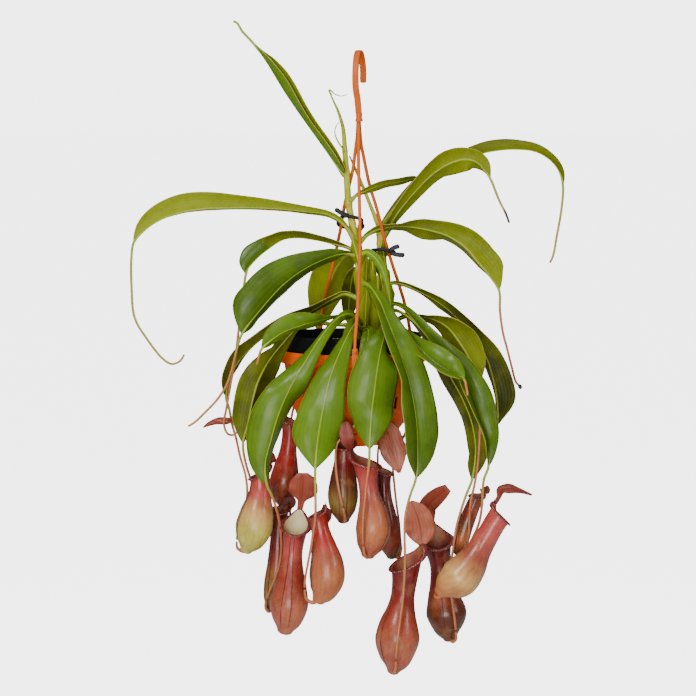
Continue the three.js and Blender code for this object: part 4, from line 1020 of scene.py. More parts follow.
# %% The pitchers' lines
PITCHERS = {
    "pitcher_01": {
        "axis": [(246, 550, -50, 6), (249.5, 542, -50, 13.5), (254, 528, -50, 18), (257.5, 511, -50, 15.8),
            (259.5, 497, -50, 11.8), (260, 485, -50, 9.6), (260, 474, -50, 9.6)],
        "front": -80, "slant": 0.5,
        "tail": [(236.5, 541, -42), (237.5, 548, -46), (243, 551, -49), (248, 546, -50)],
        "lid": {"half": 8, "points": [(268, 462, -48), (272, 452, -44)]},
        "tones": ("lime", "lime", "straw", "blush", "rose"), "lid_tone": "russet",
    },
    "pitcher_02": {
        "axis": [(283, 505, -8, 5), (283, 497, -8, 11), (284, 482, -8, 14.5), (286, 467, -8, 12.3),
            (288, 451, -9, 8.6), (289.5, 435, -10, 7.5), (289.5, 421, -10, 8.2)],
        "front": 60, "slant": 0.5,
        "tail": [(265, 503, -7), (272, 507.5, -5), (280, 507, -6), (283, 500, -8)],
        "lid": {"half": 7, "points": [(281, 412, -14), (279, 403, -10)]},
        "tones": ("tan", "russet", "rose", "rose", "maroon"), "lid_tone": "russet",
    },
    "pitcher_03": {
        "axis": [(271, 609, -22, 5), (273, 599, -22, 9.5), (275.5, 583, -22, 11.5), (277, 563, -22, 9.8),
            (278, 542, -22, 8.2), (279, 522, -22, 8.2), (280, 510, -22, 9.2)],
        "front": -50, "slant": 0.5,
        "tail": [(266, 600, -33), (265.5, 607, -29), (269, 611, -23), (273, 605, -22)],
        "lid": {"half": 7, "points": [(289, 502, -26), (284, 499, -36)]},
        "tones": ("brown", "olive", "russet", "maroon", "wine"), "lid_tone": "wine",
    },
    "pitcher_04": {
        "axis": [(285, 630, -54, 8), (287, 621, -54, 14.5), (289, 605, -54, 19), (290.5, 588, -54, 16.3),
            (291.5, 571, -54, 12.2), (292.5, 555, -54, 9.8), (294, 540, -54, 10.6), (296, 525, -54, 13)],
        "front": -8, "slant": 0.62,
        "tail": [(290, 621, -26), (288, 629, -30), (286, 633, -40), (286, 628, -52)],
        "lid": {
            "half": 14.5, "outline": (0.2, 0.22, 0.3, 0.75, 1, 1, 0.95, 0.75, 0.35),
            "points": [(302, 497, -44), (303, 486, -48), (303, 473, -53)],
        },
        "tones": ("tan", "tan", "russet", "blush", "maroon"), "lid_tone": "russet", "cream": 0.9,
    },
    "pitcher_05": {
        "axis": [(318.5, 600, -70, 6.5), (322.5, 593, -70, 12.5), (327, 579, -70, 17),
            (327.2, 564, -70, 16.2), (324.6, 548, -70, 12.4), (321.4, 533, -70, 9.2),
            (318.5, 520, -70, 8.4), (317, 514, -70, 9)],
        "front": -80, "slant": 0.25,
        "tail": [(304.6, 589, -73), (306, 598, -71), (312, 602.5, -70), (321, 597, -70)],
        "lid": {"half": 6, "points": [(326, 514, -60), (323, 521, -54), (320, 531, -51)]},
        "tones": ("amber", "amber", "tan", "rose", "rose"), "lid_tone": "maroon",
    },
    "pitcher_06": {
        "axis": [(343.5, 520, -58, 6), (343, 511, -58, 12), (343, 496, -58, 15), (343.5, 479, -58, 13.2),
            (344, 462, -58, 10), (344.3, 449, -58, 9.4), (344.5, 443, -58, 9.8)],
        "front": 0, "slant": 0.5,
        "tail": [(343, 508, -75.5), (345, 517, -70), (345, 521, -62), (343.5, 516, -58)],
        "lid": {"half": 8, "points": [(345, 431, -54), (346, 424, -62)]},
        "tones": ("brown", "olive", "brown", "maroon", "maroon"), "lid_tone": "maroon",
    },
    "pitcher_07": {
        "axis": [(368, 554.5, -75, 7), (370, 546, -75, 13), (373, 530, -75, 17), (372.5, 514, -75, 14.8),
            (370, 499, -75, 10.6), (368, 486, -75, 9.2), (366.5, 474, -75, 10.6), (365, 462, -75, 13.5)],
        "front": 70, "slant": 0.5,
        "tail": [(363.3, 546, -88), (364.5, 554, -86), (367, 557, -80), (369, 551, -75)],
        "lid": {"half": 7, "points": [(347.5, 440, -80), (346, 431, -80), (346.5, 421, -77)]},
        "tones": ("tan", "amber", "tan", "blush", "rose"), "lid_tone": "maroon",
    },
    "pitcher_08": {
        "axis": [(392, 556, -42, 5.5), (391, 547, -42, 10.5), (388, 532, -42, 12.2), (386, 514, -42, 9.8),
            (384.5, 498, -42, 7.2), (384, 483, -42, 6.6), (384, 471, -42, 7.8)],
        "front": 60, "slant": 0.4,
        "tail": [(400.5, 541, -37), (401, 550, -38), (398, 557, -40), (392, 552, -42)],
        "lid": {
            "half": 12.5, "outline": (0.08, 0.08, 0.08, 0.12, 0.45, 0.85, 1, 0.95, 0.1),
            "points": [(378, 452, -44), (380, 437, -47), (386, 430, -51), (392, 446, -56),
                (399.5, 473, -58)],
        },
        "tones": ("brown", "russet", "maroon", "maroon", "wine"), "lid_tone": "tan",
    },
    "pitcher_09": {
        "axis": [(393, 671, -80, 6), (395.5, 661, -80, 14.5), (397.3, 641, -80, 21.5),
            (398.5, 625, -80, 19.3), (401, 609, -80, 14), (402.8, 596, -80, 11.6), (405, 580, -80, 12.4),
            (407.5, 561, -80, 14.6)],
        "front": -65, "slant": 0.72,
        "tail": [(396, 661, -98), (395.5, 669, -93), (394, 673, -85), (394, 666, -80)],
        "lid": {"half": 14.5, "points": [(421, 532, -74), (418, 518, -78), (411, 501, -82)]},
        "tones": ("tan", "tan", "russet", "maroon", "maroon"), "lid_tone": "tan",
    },
    "pitcher_10": {
        "axis": [(450, 637.5, -46, 7), (448, 629, -46, 14), (446.5, 614, -46, 20), (444, 598, -46, 16.5),
            (442, 582, -46, 12), (440.5, 566, -46, 10.4), (438.5, 552, -46, 12.3), (437, 540, -46, 14.3)],
        "front": 5, "slant": 0.5,
        "tail": [(456, 632, -67), (456, 639, -60), (452, 641, -51), (450, 632, -46)],
        "lid": {
            "half": 9, "outline": (0.3, 0.4, 0.6, 0.9, 1, 1, 0.95, 0.8, 0.5),
            "points": [(430, 520, -34), (427, 508, -37), (436, 497, -44), (448, 488, -52)],
        },
        "tones": ("brown", "brown", "russet", "maroon", "wine"), "lid_tone": "russet",
    },
    "pitcher_11": {
        "axis": [(440, 592, -94, 6.5), (446, 587, -94, 13.5), (457.5, 579, -94, 19), (468, 567, -94, 17.2),
            (478, 551, -94, 12.4), (487, 536, -94, 10.8), (494, 524, -94, 10.8), (500, 515, -94, 11.4)],
        "front": 100, "slant": 0.2,
        "tail": [(437, 592.5, -86), (435, 596, -91), (438, 597, -94), (445, 589, -94)],
        "lid": {
            "half": 7, "left": (-30, -60, -60), "right": (30, 60, 60),
            "outline": (0.3, 0.35, 0.45, 0.8, 1, 1, 0.8, 0.4, 0.15),
            "points": [(499, 497, -94), (501, 490, -94), (508, 488.5, -94), (519, 490.5, -94),
                (532, 495, -94)],
        },
        "tones": ("amber", "straw", "tan", "blush", "blush"), "lid_tone": "maroon",
    },
    "pitcher_12": {
        "axis": [(458, 553, -54, 4.5), (461, 541, -54, 7.6), (466, 524, -54, 7.8), (472, 508, -54, 7.4),
            (477, 496, -54, 6.4)],
        "front": -60, "slant": 0.4,
        "tail": [(466, 545, -62), (463, 553, -60), (459, 556, -56), (460, 548, -54)],
        "lid": {"half": 5, "points": [(485, 490, -50), (483, 488, -56)]},
        "tones": ("brown", "amber", "brown", "russet", "brown"), "lid_tone": "brown",
    },
}
print("pitchers:", len(PITCHERS))

# %% Pitcher bodies
BODY_SIDES = 56
BODY_STEPS = 64
CAP = 0.1               # the share of a body's rings that close its base
CAP_HEIGHT = 0.6        # of the base's radius
LIP_SPAN = 2            # points of the axis over which the mouth comes to slant
RIBS = 44
PEAK = 0.5              # how high the rim climbs at the back, in radii
WALL = 1.0 * MM
RIM_SIDES = 10
RIM_STEPS_PER_RIB = 4
RIM_BASE = 0.9 * MM     # the rim's half width, before the share of the mouth's radius
RIM_SHARE = 0.11
RIM_DEEP = 0.95 * MM
RIB_HEIGHT = 0.1        # of the rim's own size
WING_SPAN = (0.08, 0.94)
WING_HEIGHT = 0.75 * MM
WING_ROOT = -0.5 * MM
WING_ANGLE = 0.16       # off the front at the mouth
WING_SPREAD = 0.14      # more than that at the base
SPUR = ((0, 0), (2.2, 1.5), (4, 4.6))
TAIL_SWELL = 2.1 * MM
LID_THICK = 0.7 * MM
LID_WAVE = 0.07
LID_OUTLINE = (0.24, 0.62, 0.88, 1, 1.02, 0.98, 0.88, 0.66, 0.12)


class Cup:
    """The lines of one pitcher, and the points on its wall."""

    def __init__(self, spec):
        self.route = Route([point[:3] for point in spec["axis"]])
        self.radii = [point[3] * MM for point in spec["axis"]]
        self.bearing = math.radians(spec["front"])
        self.slant = spec["slant"]
        self.last = len(self.radii) - 1

    def lean(self, t):
        """The direction of the axis, and those to the front and to the side, square to it."""
        forward = Vector((math.sin(self.bearing), -math.cos(self.bearing), 0))
        along = self.route.along(t)
        ahead = (forward - along * forward.dot(along)).normalized()
        return along, ahead, along.cross(ahead)

    def wall(self, t, angle, more=0.0):
        """A point at a share of the height and an angle from the front; below 0 it is on the base."""
        along, ahead, side = self.lean(max(t, 0))
        if t < 0:
            turn = (1 + t) * math.pi / 2
            radius = self.radii[0] * math.sin(turn)
            spot = self.route.at(0) - along * self.radii[0] * CAP_HEIGHT * math.cos(turn)
        else:
            radius = eased(self.radii, t)
            spot = self.route.at(t)
        lip = max(0, (t * self.last - self.last + LIP_SPAN) / LIP_SPAN) ** 1.15
        out = ahead * math.cos(angle) + side * math.sin(angle)
        rise = PEAK * max(0, -math.cos(angle)) ** 7 - self.slant * math.cos(angle)
        return spot + out * (radius + more) + along * (lip * radius * rise)


def toned(names, share):
    """The colour at a share of the way through the named tones."""
    spots = [paint(TONES[name]) for name in names]
    return tuple(keyed([spot[i] for spot in spots], share) for i in range(3)) + (1,)


def body_of_cup(name, cup, tones, cream):
    def place(step, side):
        t = step / CAP - 1 if step < CAP else (step - CAP) / (1 - CAP)
        return cup.wall(t, side * FULL)

    body = tube(name + "_body", BODY_SIDES, BODY_STEPS, place)
    low, high = cup.route.at(0), cup.route.at(1)
    axis = high - low
    mark(body, "tone", lambda vertex: toned(tones, (vertex.co - low).dot(axis) / axis.length_squared))
    mark(body, "cream", lambda vertex: cream)
    colour_with(body, PITCHER_WALL_SKIN, PITCHER_INSIDE)
    modify(body, "SOLIDIFY", thickness=WALL, offset=-1, use_even_offset=False, material_offset=1,
           material_offset_rim=1)
    return body


def rim_of_cup(name, cup):
    along, ahead, side = cup.lean(1)
    wide = RIM_BASE + RIM_SHARE * cup.radii[-1]

    def place(step, turn):
        angle, swing = step * FULL, turn * FULL
        out = ahead * math.cos(angle) + side * math.sin(angle)
        up = (along + out * cup.slant * math.cos(angle) * 0.6).normalized()
        rib = 1 + RIB_HEIGHT * math.sin(angle * RIBS)
        centre = cup.wall(1, angle, 0.35 * wide) - up * 0.2 * MM
        droop = 0.45 * wide * max(0, math.cos(swing))
        return centre + out * (wide * math.cos(swing) * rib) + up * (RIM_DEEP * math.sin(swing) * rib - droop)

    rim = tube(name + "_rim", RIM_SIDES, RIBS * RIM_STEPS_PER_RIB, place)
    colour_with(rim, RIM)
    return rim


def wings_of_cup(name, cup):
    wings = []
    for sign in (-1, 1):
        def place(step, side):
            t = WING_SPAN[0] + (WING_SPAN[1] - WING_SPAN[0]) * step
            height = WING_HEIGHT * math.sin(math.pi * min(1, max(0, step))) ** 0.5
            return cup.wall(t, sign * (WING_ANGLE + WING_SPREAD * (1 - t)), WING_ROOT if side < 0 else height)

        wing = sheet(f"{name}_wing_{sign}", 1, 70, place)
        modify(wing, "SOLIDIFY", thickness=0.45 * MM, offset=0)
        mark(wing, "tone", lambda vertex: paint(TONES["wine"]))
        colour_with(wing, PITCHER_WALL_SKIN)
        wings.append(wing)
    return wings


def lid_of_cup(name, cup, spec, tone, number):
    along, ahead, _ = cup.lean(1)
    radius = cup.radii[-1]
    back = cup.route.at(1) - ahead * (radius - 0.65 * MM) + along * ((cup.slant + PEAK) * radius - MM)
    shape = {**spec, "wide": [spec["half"] * share for share in spec.get("outline", LID_OUTLINE)]}
    route = Route([back] + spec["points"])
    lid = blade(name + "_lid", route, 1, shape, LID_THICK, (LID_UNDER, LID_TOP), number, columns=18, rows=26,
                wave=LID_WAVE)
    spur_line = [back + (-ahead * off + along * up) * MM for off, up in SPUR]
    spur = rod(name + "_spur", Route(spur_line), lambda t: (0.75 - 0.55 * t) * MM, 8, 10)
    colour_with(spur, LID_TOP)
    for part in (lid, spur):
        mark(part, "tone", lambda vertex: paint(TONES[tone]))
    return [lid, spur]


def pitcher(name, spec, number):
    cup = Cup(spec)
    tail = rod(name + "_tail", Route(spec["tail"]), lambda t: TENDRIL_RADIUS + TAIL_SWELL * t ** 2, 12, 26)
    mark(tail, "ripe", lambda vertex: 0.9)
    colour_with(tail, STALK)
    parts = [body_of_cup(name, cup, spec["tones"], spec.get("cream", 0)), rim_of_cup(name, cup),
             *wings_of_cup(name, cup), *lid_of_cup(name, cup, spec["lid"], spec["lid_tone"], number), tail]
    return stand_for(join(parts, name + "_grown"), name)


pitcher_pieces = [pitcher(name, spec, number) for number, (name, spec) in enumerate(PITCHERS.items())]
print("pitcher faces:", sum(len(piece.data.polygons) for piece in pitcher_pieces))

# %% [markdown]
# One pitcher has not opened yet: a closed, pointed pod on a looped tendril.

# %% The pod
POD = [(234.2, 419.7, 3), (228, 420.8, 3.4), (218, 421, 4), (209, 424, 4), (202, 428, 4)]
POD_RADII = (1.2, 3.2, 3.9, 3.1, 2.1, 0.5)
pod = rod("pitcher_13_grown", Route(POD), lambda t: eased(POD_RADII, t) * MM, 24, 36)
mark(pod, "tone", lambda vertex: paint(TONES["russet"]))
colour_with(pod, PITCHER_WALL_SKIN)
stand_for(pod, "pitcher_13")
print("pod:", pod.dimensions)

# %% [markdown]
# ## Moulded plastic
# The basket and the hanger are orange polypropylene, the hanger a little browner: satin, with a
# faint orange-peel grain and dust in the mottle. The nursery pot is thin black plastic, and the
# ties are dark plastic-coated wire.


# %% Plastic materials
def plastic(name, body, worn, roughness, coat, specular):
    skin = Finish(name, roughness=roughness, coat=coat, coat_roughness=0.25, specular=specular)
    colour = skin.blotch(paint(body), worn, 0.25, 24, 0.42, 0.66)
    skin.set("Base Color", skin.blotch(colour, worn, 0.175, 210, 0.55, 0.75))
    skin.vary_roughness(60, roughness - 0.05, roughness + 0.1)
    skin.bump(skin.use(DOTS, Scale=1500, Size=0.5), 0.00005, 0.6)
    return skin.material


ORANGE = plastic("orange_plastic", "e05a00", "c44c00", 0.5, 0.0, 0.12)
HANGER_ORANGE = plastic("hanger_orange_plastic", "cc5c10", "b04c0c", 0.5, 0.0, 0.2)
BLACK = plastic("black_pot_plastic", "050505", "0e0d0c", 0.7, 0.0, 0.15)
TIE = plastic("tie_plastic", "0c1513", "182421", 0.55, 0.05, 0.3)
print("plastics made")

# %% [markdown]
# ## The basket
# The basket is one injection moulding: a rim band, a tapering wall with a ring of upright slots,
# a bowl pierced with flat slots and a short foot. It could be spun from a profile, but growing it
# ring by ring with Extrude and Resize from one circle shows each radius. The slots are cut out of
# the sheet before Solidify gives it its wall. A profile's rows are radius and height in
# millimetres, a row of slots is its lower and upper height, how many there are, how many degrees
# wide each is and the bearing of the first.

# %% Grow a shell from a circle
RIM_TOP = -296 * MM
BASKET_PROFILE = [
    (73, -296), (73, -304), (73, -308), (70, -308.6), (68, -309), (66.2, -320), (64, -334), (62.6, -340),
    (60.3, -352), (58.6, -354.6), (57.5, -356), (52.5, -369), (47.5, -375.4), (46, -378), (40, -381),
    (35, -382), (35, -386), (35, -390),
]
BASKET_FLOOR = [(34.9, -381.8), (20, -382.2)]
BASKET_SLOTS = [(-352, -340, 12, 3.8, 15), (-378, -375.4, 8, 11.3, 270)]
SHARP_EDGE = math.radians(50)


def grown_shell(name, profile, sides):
    """A sheet of rings, one to each row of the profile, round the pot's axis."""
    deselect()
    top_radius, top = profile[0]
    bpy.ops.mesh.primitive_circle_add(vertices=sides, radius=top_radius * MM, location=(POT_X, 0, top * MM))
    shell = named(bpy.context.active_object, name)
    bpy.ops.object.transform_apply(location=True, rotation=True, scale=True)
    bpy.ops.object.mode_set(mode="EDIT")
    bpy.ops.mesh.select_all(action="SELECT")
    for (radius, height), (wider, higher) in zip(profile[1:], profile):
        bpy.ops.mesh.extrude_edges_move()
        if height != higher:
            bpy.ops.transform.translate(value=(0, 0, (height - higher) * MM))
        if radius != wider:
            share = radius / wider
            bpy.ops.transform.resize(value=(share, share, 1), center_override=(POT_X, 0, height * MM))
    bpy.ops.object.mode_set(mode="OBJECT")
    return shell


def cut_slots(shell, low, high, count, wide, turn):
    """Deletes the faces between two heights, wide degrees of them round each slot's bearing."""
    only(shell)
    bpy.ops.object.mode_set(mode="EDIT")
    bpy.ops.mesh.select_all(action="DESELECT")
    bpy.ops.mesh.select_mode(type="FACE")
    bpy.ops.object.mode_set(mode="OBJECT")
    for face in shell.data.polygons:
        round_pot = math.degrees(math.atan2(face.center.y, face.center.x - POT_X)) % 360
        bearing = (round_pot - turn) % (360 / count)
        near = min(bearing, 360 / count - bearing)
        face.select = low * MM < face.center.z < high * MM and near < wide / 2
    bpy.ops.object.mode_set(mode="EDIT")
    bpy.ops.mesh.delete(type="FACE")
    bpy.ops.mesh.select_mode(type="VERT")
    bpy.ops.object.mode_set(mode="OBJECT")


def walled(shell, wall, edge):
    """Gives a grown sheet its wall and rounds the edges."""
    modify(shell, "SOLIDIFY", thickness=wall * MM, offset=-1, use_even_offset=True)
    modify(shell, "BEVEL", width=edge * MM, segments=2, limit_method="ANGLE", angle_limit=SHARP_EDGE)


# %% The basket
basket = grown_shell("basket_moulded", BASKET_PROFILE, 192)
for row in BASKET_SLOTS:
    cut_slots(basket, *row)
mend(basket)
walled(basket, 2, 0.45)
floor_ring = grown_shell("basket_floor", BASKET_FLOOR, 64)
mend(floor_ring, False)
modify(floor_ring, "SOLIDIFY", thickness=1.8 * MM, offset=0)
basket = join([basket, floor_ring], "basket_moulded")
smooth_to(basket, 40)
colour_with(basket, ORANGE)
stand_for(basket, "basket")
print("basket:", basket.dimensions)

# %% [markdown]
# ## The nursery pot and the compost
# The pot is grown the same way, from its rolled lip down to its floor. The compost is a sheet of
# rings, raised in the middle and roughened, with bark chips and grains of perlite pressed into
# it. One chip, one grain and one strand of moss are modelled, and each copy gets its own mesh,
# size and turn.

# %% The nursery pot
POT_PROFILE = [
    (67.4, -281), (67.8, -280.3), (68.6, -280.2), (69, -280.8), (69, -284), (68.4, -285), (68.6, -294.6),
    (69, -295.4), (66, -295.6), (63.5, -295.8), (61, -305), (54, -332), (47, -360), (43.5, -374.6),
    (41, -376.6), (20, -376.7), (3, -376.7),
]
pot = grown_shell("nursery_pot_moulded", POT_PROFILE, 128)
mend(pot)
walled(pot, 1.3, 0.3)
smooth_to(pot, 40)
colour_with(pot, BLACK)
stand_for(pot, "nursery_pot")
print("pot:", pot.dimensions)


# %% Compost materials
def compost_skin():
    skin = Finish("damp_compost", roughness=0.9, specular=0.2)
    colour = skin.mix(skin.patches(120, 0.38, 0.66), paint("1d140d"), paint("4a3524"))
    colour = skin.mix(skin.times(skin.use(DOTS, Scale=420, Size=0.36), 0.5), colour, paint("6b533a"))
    skin.set("Base Color", colour)
    skin.bump(skin.patches(420), 0.0012)
    return skin.material


def bark_skin(name, dark, light):
    skin = Finish(name, roughness=0.85, specular=0.25)
    skin.set("Base Color", skin.mix(skin.patches(260, 0.4, 0.65), paint(dark), paint(light)))
    skin.bump(skin.patches(700), 0.0006)
    return skin.material


COMPOST = compost_skin()
BARK = bark_skin("bark_chip", "2a1a10", "6d4526")
PERLITE = bark_skin("perlite", "b9b4a6", "e4e0d6")
MOSS = bark_skin("moss_strand", "3a4416", "77803a")

# %% The compost bed
draw = random.Random(11)
BED_TOP = -291.0 * MM
BED_RADIUS = 62.6 * MM
BED_CROWN = 2.2 * MM
BED_DEPTH = 12 * MM
BED_SURFACE = 0.8       # the share of the tube's rings that lie on the surface
LUMP_REACH = 5 * MM
lumps = [(draw.uniform(-60, 60) * MM, draw.uniform(-60, 60) * MM, draw.uniform(-1.2, 1.4) * MM)
         for _ in range(90)]


def bed_height(x, y):
    """The height of the compost, x and y from the pot's axis: a low crown with lumps on it."""
    rough = sum(height * math.exp(-((x - a) ** 2 + (y - b) ** 2) / (2 * LUMP_REACH ** 2))
                for a, b, height in lumps)
    return BED_TOP + BED_CROWN * (1 - (x * x + y * y) / BED_RADIUS ** 2) + rough


def bed(step, side):
    """The compost's surface as far as the pot's wall, then in again below it to the middle."""
    reach = BED_RADIUS * min(1, step / BED_SURFACE)
    x, y = reach * math.cos(side * FULL), reach * math.sin(side * FULL)
    top = bed_height(x, y)
    if step > BED_SURFACE:
        shrink = 1 - (step - BED_SURFACE) / (1 - BED_SURFACE)
        x, y, top = x * shrink, y * shrink, BED_TOP - BED_DEPTH
    return Vector((POT_X + x, y, top))


soil = tube("compost_bed", 72, 40, bed)
colour_with(soil, COMPOST)


def chip(name, size, material, squash):
    """A stone of a few faces, pressed flat and cut rough."""
    deselect()
    bpy.ops.mesh.primitive_ico_sphere_add(subdivisions=2, radius=size)
    piece = bpy.context.active_object
    piece.name = name
    for vertex in piece.data.vertices:
        vertex.co = Vector(a * b * draw.uniform(0.75, 1.2) for a, b in zip(vertex.co, squash))
    colour_with(piece, material)
    return piece


def scatter(pattern, count):
    """Copies of a pattern strewn over the bed, each with its own place, turn and size."""
    copies = []
    for _ in range(count):
        angle, reach = draw.uniform(0, FULL), BED_RADIUS * 0.95 * math.sqrt(draw.random())
        x, y = reach * math.cos(angle), reach * math.sin(angle)
        copy = pattern.copy()
        copy.data = pattern.data.copy()
        bpy.context.scene.collection.objects.link(copy)
        turn = Matrix.Rotation(draw.uniform(0, 6.28), 4, "Z")
        turn = turn @ Matrix.Rotation(draw.uniform(-0.5, 0.5), 4, "X")
        place = Matrix.Translation((POT_X + x, y, bed_height(x, y) + 0.3 * MM))
        copy.data.transform(place @ turn @ Matrix.Scale(draw.uniform(0.6, 1.25), 4))
        copies.append(copy)
    bpy.data.objects.remove(pattern)
    return copies


# Each kind of bit: its size, material, squash and number.
BITS = {
    "chip": (3.2 * MM, BARK, (1.3, 0.8, 0.45), 120),
    "grain": (1.5 * MM, PERLITE, (1, 0.9, 0.8), 50),
    "moss": (3.6 * MM, MOSS, (1.5, 0.35, 0.3), 60),
}
bits = []
for kind, (size, material, squash, count) in BITS.items():
    bits += scatter(chip(kind, size, material, squash), count)
soil = join([soil] + bits, "compost_bed")
stand_for(soil, "compost")
print("compost pieces:", len(bits))

# %% [markdown]
# ## The hanger
# The hanger is one moulding too. A flat strap bends over into the hook, a collar gathers three
# slim arms below it, and each arm ends in a clip that grips the basket's rim. The strap and the
# arms are tubes with a rounded section laid along their routes, and the clips are bevelled boxes.

# %% Rounded bars
HOOK = [
    (359, 117, 0), (357.6, 100, -5), (355.8, 88, -9.5), (355.4, 76, -11.5), (355.9, 64, -10),
    (357, 55, -5), (358.7, 51.5, 1), (360.8, 54, 9), (362.4, 62, 14.5), (363.2, 72, 16.5), (363, 80.5, 16.2),
]
ARMS = [
    [(358.6, 119, 0), (358.5, 163, -13), (359.3, 196, -24), (360, 240, -38), (359, 274, -49),
     (357.5, 309, -61), (355, 341, -72)],
    [(358.4, 119, 0), (357, 138, 6), (355, 153, 10.5), (353, 169, 15), (345, 203, 25), (340.5, 229, 33),
     (334, 260, 43), (326.5, 292, 54), (321.9, 320, 64.5)],
    [(358.8, 119, 0), (361, 143, 3.7), (363.5, 156, 6), (369.6, 185, 11), (376.6, 208, 15), (383.5, 235, 20),
     (391.2, 261, 26), (398.8, 284, 31), (405, 305, 35.5), (410, 331, 43)],
]
HOOK_END = [(362.9, 76, 16.4), (363.2, 79.5, 16.3), (363.2, 83.2, 16.2)]
HOOK_SIDE = Vector((math.cos(0.26), -math.sin(0.26), 0))
CLIPS = [math.radians(bearing) for bearing in (-88, 116.6, 35.4)]
CLIP_TOP = RIM_TOP + 6.5 * MM
STRAP = (6.4 * MM, 3.2 * MM)
STRAP_END = (6.2 * MM, 4.2 * MM)
# Each block of a clip: its inner and outer radius, bottom, top, width and bevel.
CLIP_BLOCKS = {
    "clip_over": (69.7, 76.3, -295.6, -289.5, 6, 0.8),
    "clip_down": (73.4, 76.3, -310, -291, 6, 0.7),
}
FOOT_RADIUS = 74 * MM


def bar(name, route, widthway, width, thick, steps, sides=20, corner=0.35):
    """A tube of rounded rectangular section, its width laid along one fixed direction."""
    def place(step, side):
        i = step * steps
        end = min(i, steps - i)
        size = 0 if end < 0.5 else 0.82 if end < 1.5 else 1
        along = route.along(step)
        face = along.cross(widthway).normalized()
        wide = face.cross(along)
        x, y = math.cos(side * FULL), math.sin(side * FULL)
        x, y = math.copysign(abs(x) ** corner, x), math.copysign(abs(y) ** corner, y)
        return route.at(step) + wide * (x * size * width / 2) + face * (y * size * thick / 2)

    return tube(name, sides, steps, place)


def block(name, bearing, inner, outer, bottom, top, width, bevel):
    """A bevelled box set round the pot's axis at a bearing; lengths in millimetres."""
    deselect()
    bpy.ops.mesh.primitive_cube_add(size=1)
    piece = bpy.context.active_object
    piece.name = name
    bpy.ops.transform.resize(value=((outer - inner) * MM, width * MM, (top - bottom) * MM))
    bpy.ops.transform.translate(value=((outer + inner) / 2 * MM, 0, (bottom + top) / 2 * MM))
    bpy.ops.object.transform_apply(location=True, rotation=True, scale=True)
    piece.data.transform(Matrix.Translation((POT_X, 0, 0)) @ Matrix.Rotation(bearing, 4, "Z"))
    modify(piece, "BEVEL", width=bevel * MM, segments=3)
    return piece


# %% The hanger
parts = [bar("hook", Route(HOOK), HOOK_SIDE, *STRAP, 90)]
collar_top = seen(359, 113, 0)
collar_line = [collar_top - Vector((0, 0, z * MM)) for z in (-0.6, 3, 6, 9)]
parts.append(rod("collar", Route(collar_line),
                 lambda t: (3.2 + 0.8 * smooth(t, 0.55, 0.95) + 0.3 * smooth(t, 0.2, 0)) * MM, 28, 18))
for arm, bearing in zip(ARMS, CLIPS):
    foot = Vector((FOOT_RADIUS * math.cos(bearing), FOOT_RADIUS * math.sin(bearing), CLIP_TOP - 1.5 * MM))
    foot.x += POT_X
    route = Route(arm + [foot])
    parts.append(rod("arm", route, lambda t: (1.75 + 0.25 * smooth(t, 0.12, 0)) * MM, 16, 80))
    parts += [block(name, bearing, *sizes) for name, sizes in CLIP_BLOCKS.items()]
    parts.append(rod("clip_neck", Route([route.at(0.955), route.at(0.98), foot - Vector((0, 0, 3 * MM))]),
                     lambda t: (1.8 + 1.1 * t) * MM, 16, 12))
parts.append(bar("hook_end", Route(HOOK_END), HOOK_SIDE, *STRAP_END, 12))
hanger = join(parts, "hanger_moulded")
colour_with(hanger, HANGER_ORANGE)
smooth_to(hanger, 50)
stand_for(hanger, "hanger")
print("hanger:", hanger.dimensions)

# %% [markdown]
# ## The vine stems
# The stems are smooth and yellow green, a little swollen at every joint where a leaf clasps them,
# with a few fine shoots at the top. Old leaf bases wrap the lower part of each as dry sheaths,
# and a short thick stump of an older stem, wrapped in the same way, fills the space between the
# two. A cane is a rod whose radius is a function of its height. A sheath is a sheet wound part of
# the way round a cane, wider and more open towards its pointed top.

# %% The stems' lines
STEMS = {
    "stem_1": {
        "points": [(362, 366, -6), (362, 330, -4), (362, 290, 0), (361, 267, 4), (358, 250, 8),
            (354, 231, 11), (350.5, 215, 12.5), (348.2, 200, 12.5), (346.7, 174, 12.5), (345, 152, 12),
            (343, 128, 11), (338, 111, 10), (333, 100, 9), (329, 90.5, 8)],
        "radii": (4, 4, 4, 4, 3.8, 3.6, 3.5, 3.4, 3.2, 2.6, 2, 1.4, 1, 0.7),
        "joints": (0.12, 0.17, 0.22, 0.27, 0.31, 0.35, 0.42, 0.52, 0.62, 0.7),
        "shoots": [
            [(332, 96, 8.5), (329, 90.2, 8), (331.5, 91, 7), (334, 93.5, 6), (340.5, 96, 4), (349, 94, 2)],
            [(345, 154, 11), (342.8, 149, 8), (336.7, 139, 5), (334.8, 132, 4), (336.7, 125, 4),
             (340.5, 121.5, 5)],
        ],
    },
    "stem_2": {
        "points": [(389, 366, 4), (389, 330, 7), (388, 305, 14), (386, 290, 18), (383.5, 272, 23),
            (381, 258, 27), (380.4, 246, 30.5), (380, 236, 34), (378, 225, 35), (371, 207, 34),
            (363, 187, 33), (355, 168, 32), (349, 155, 31)],
        "radii": (4.4, 4.4, 4.4, 4.4, 4.2, 4, 3.8, 3.6, 2.6, 2, 1.8, 1.4, 0.8),
        "joints": (0.12, 0.18, 0.24, 0.3, 0.36, 0.44, 0.52, 0.6, 0.7),
        "shoots": [],
    },
}


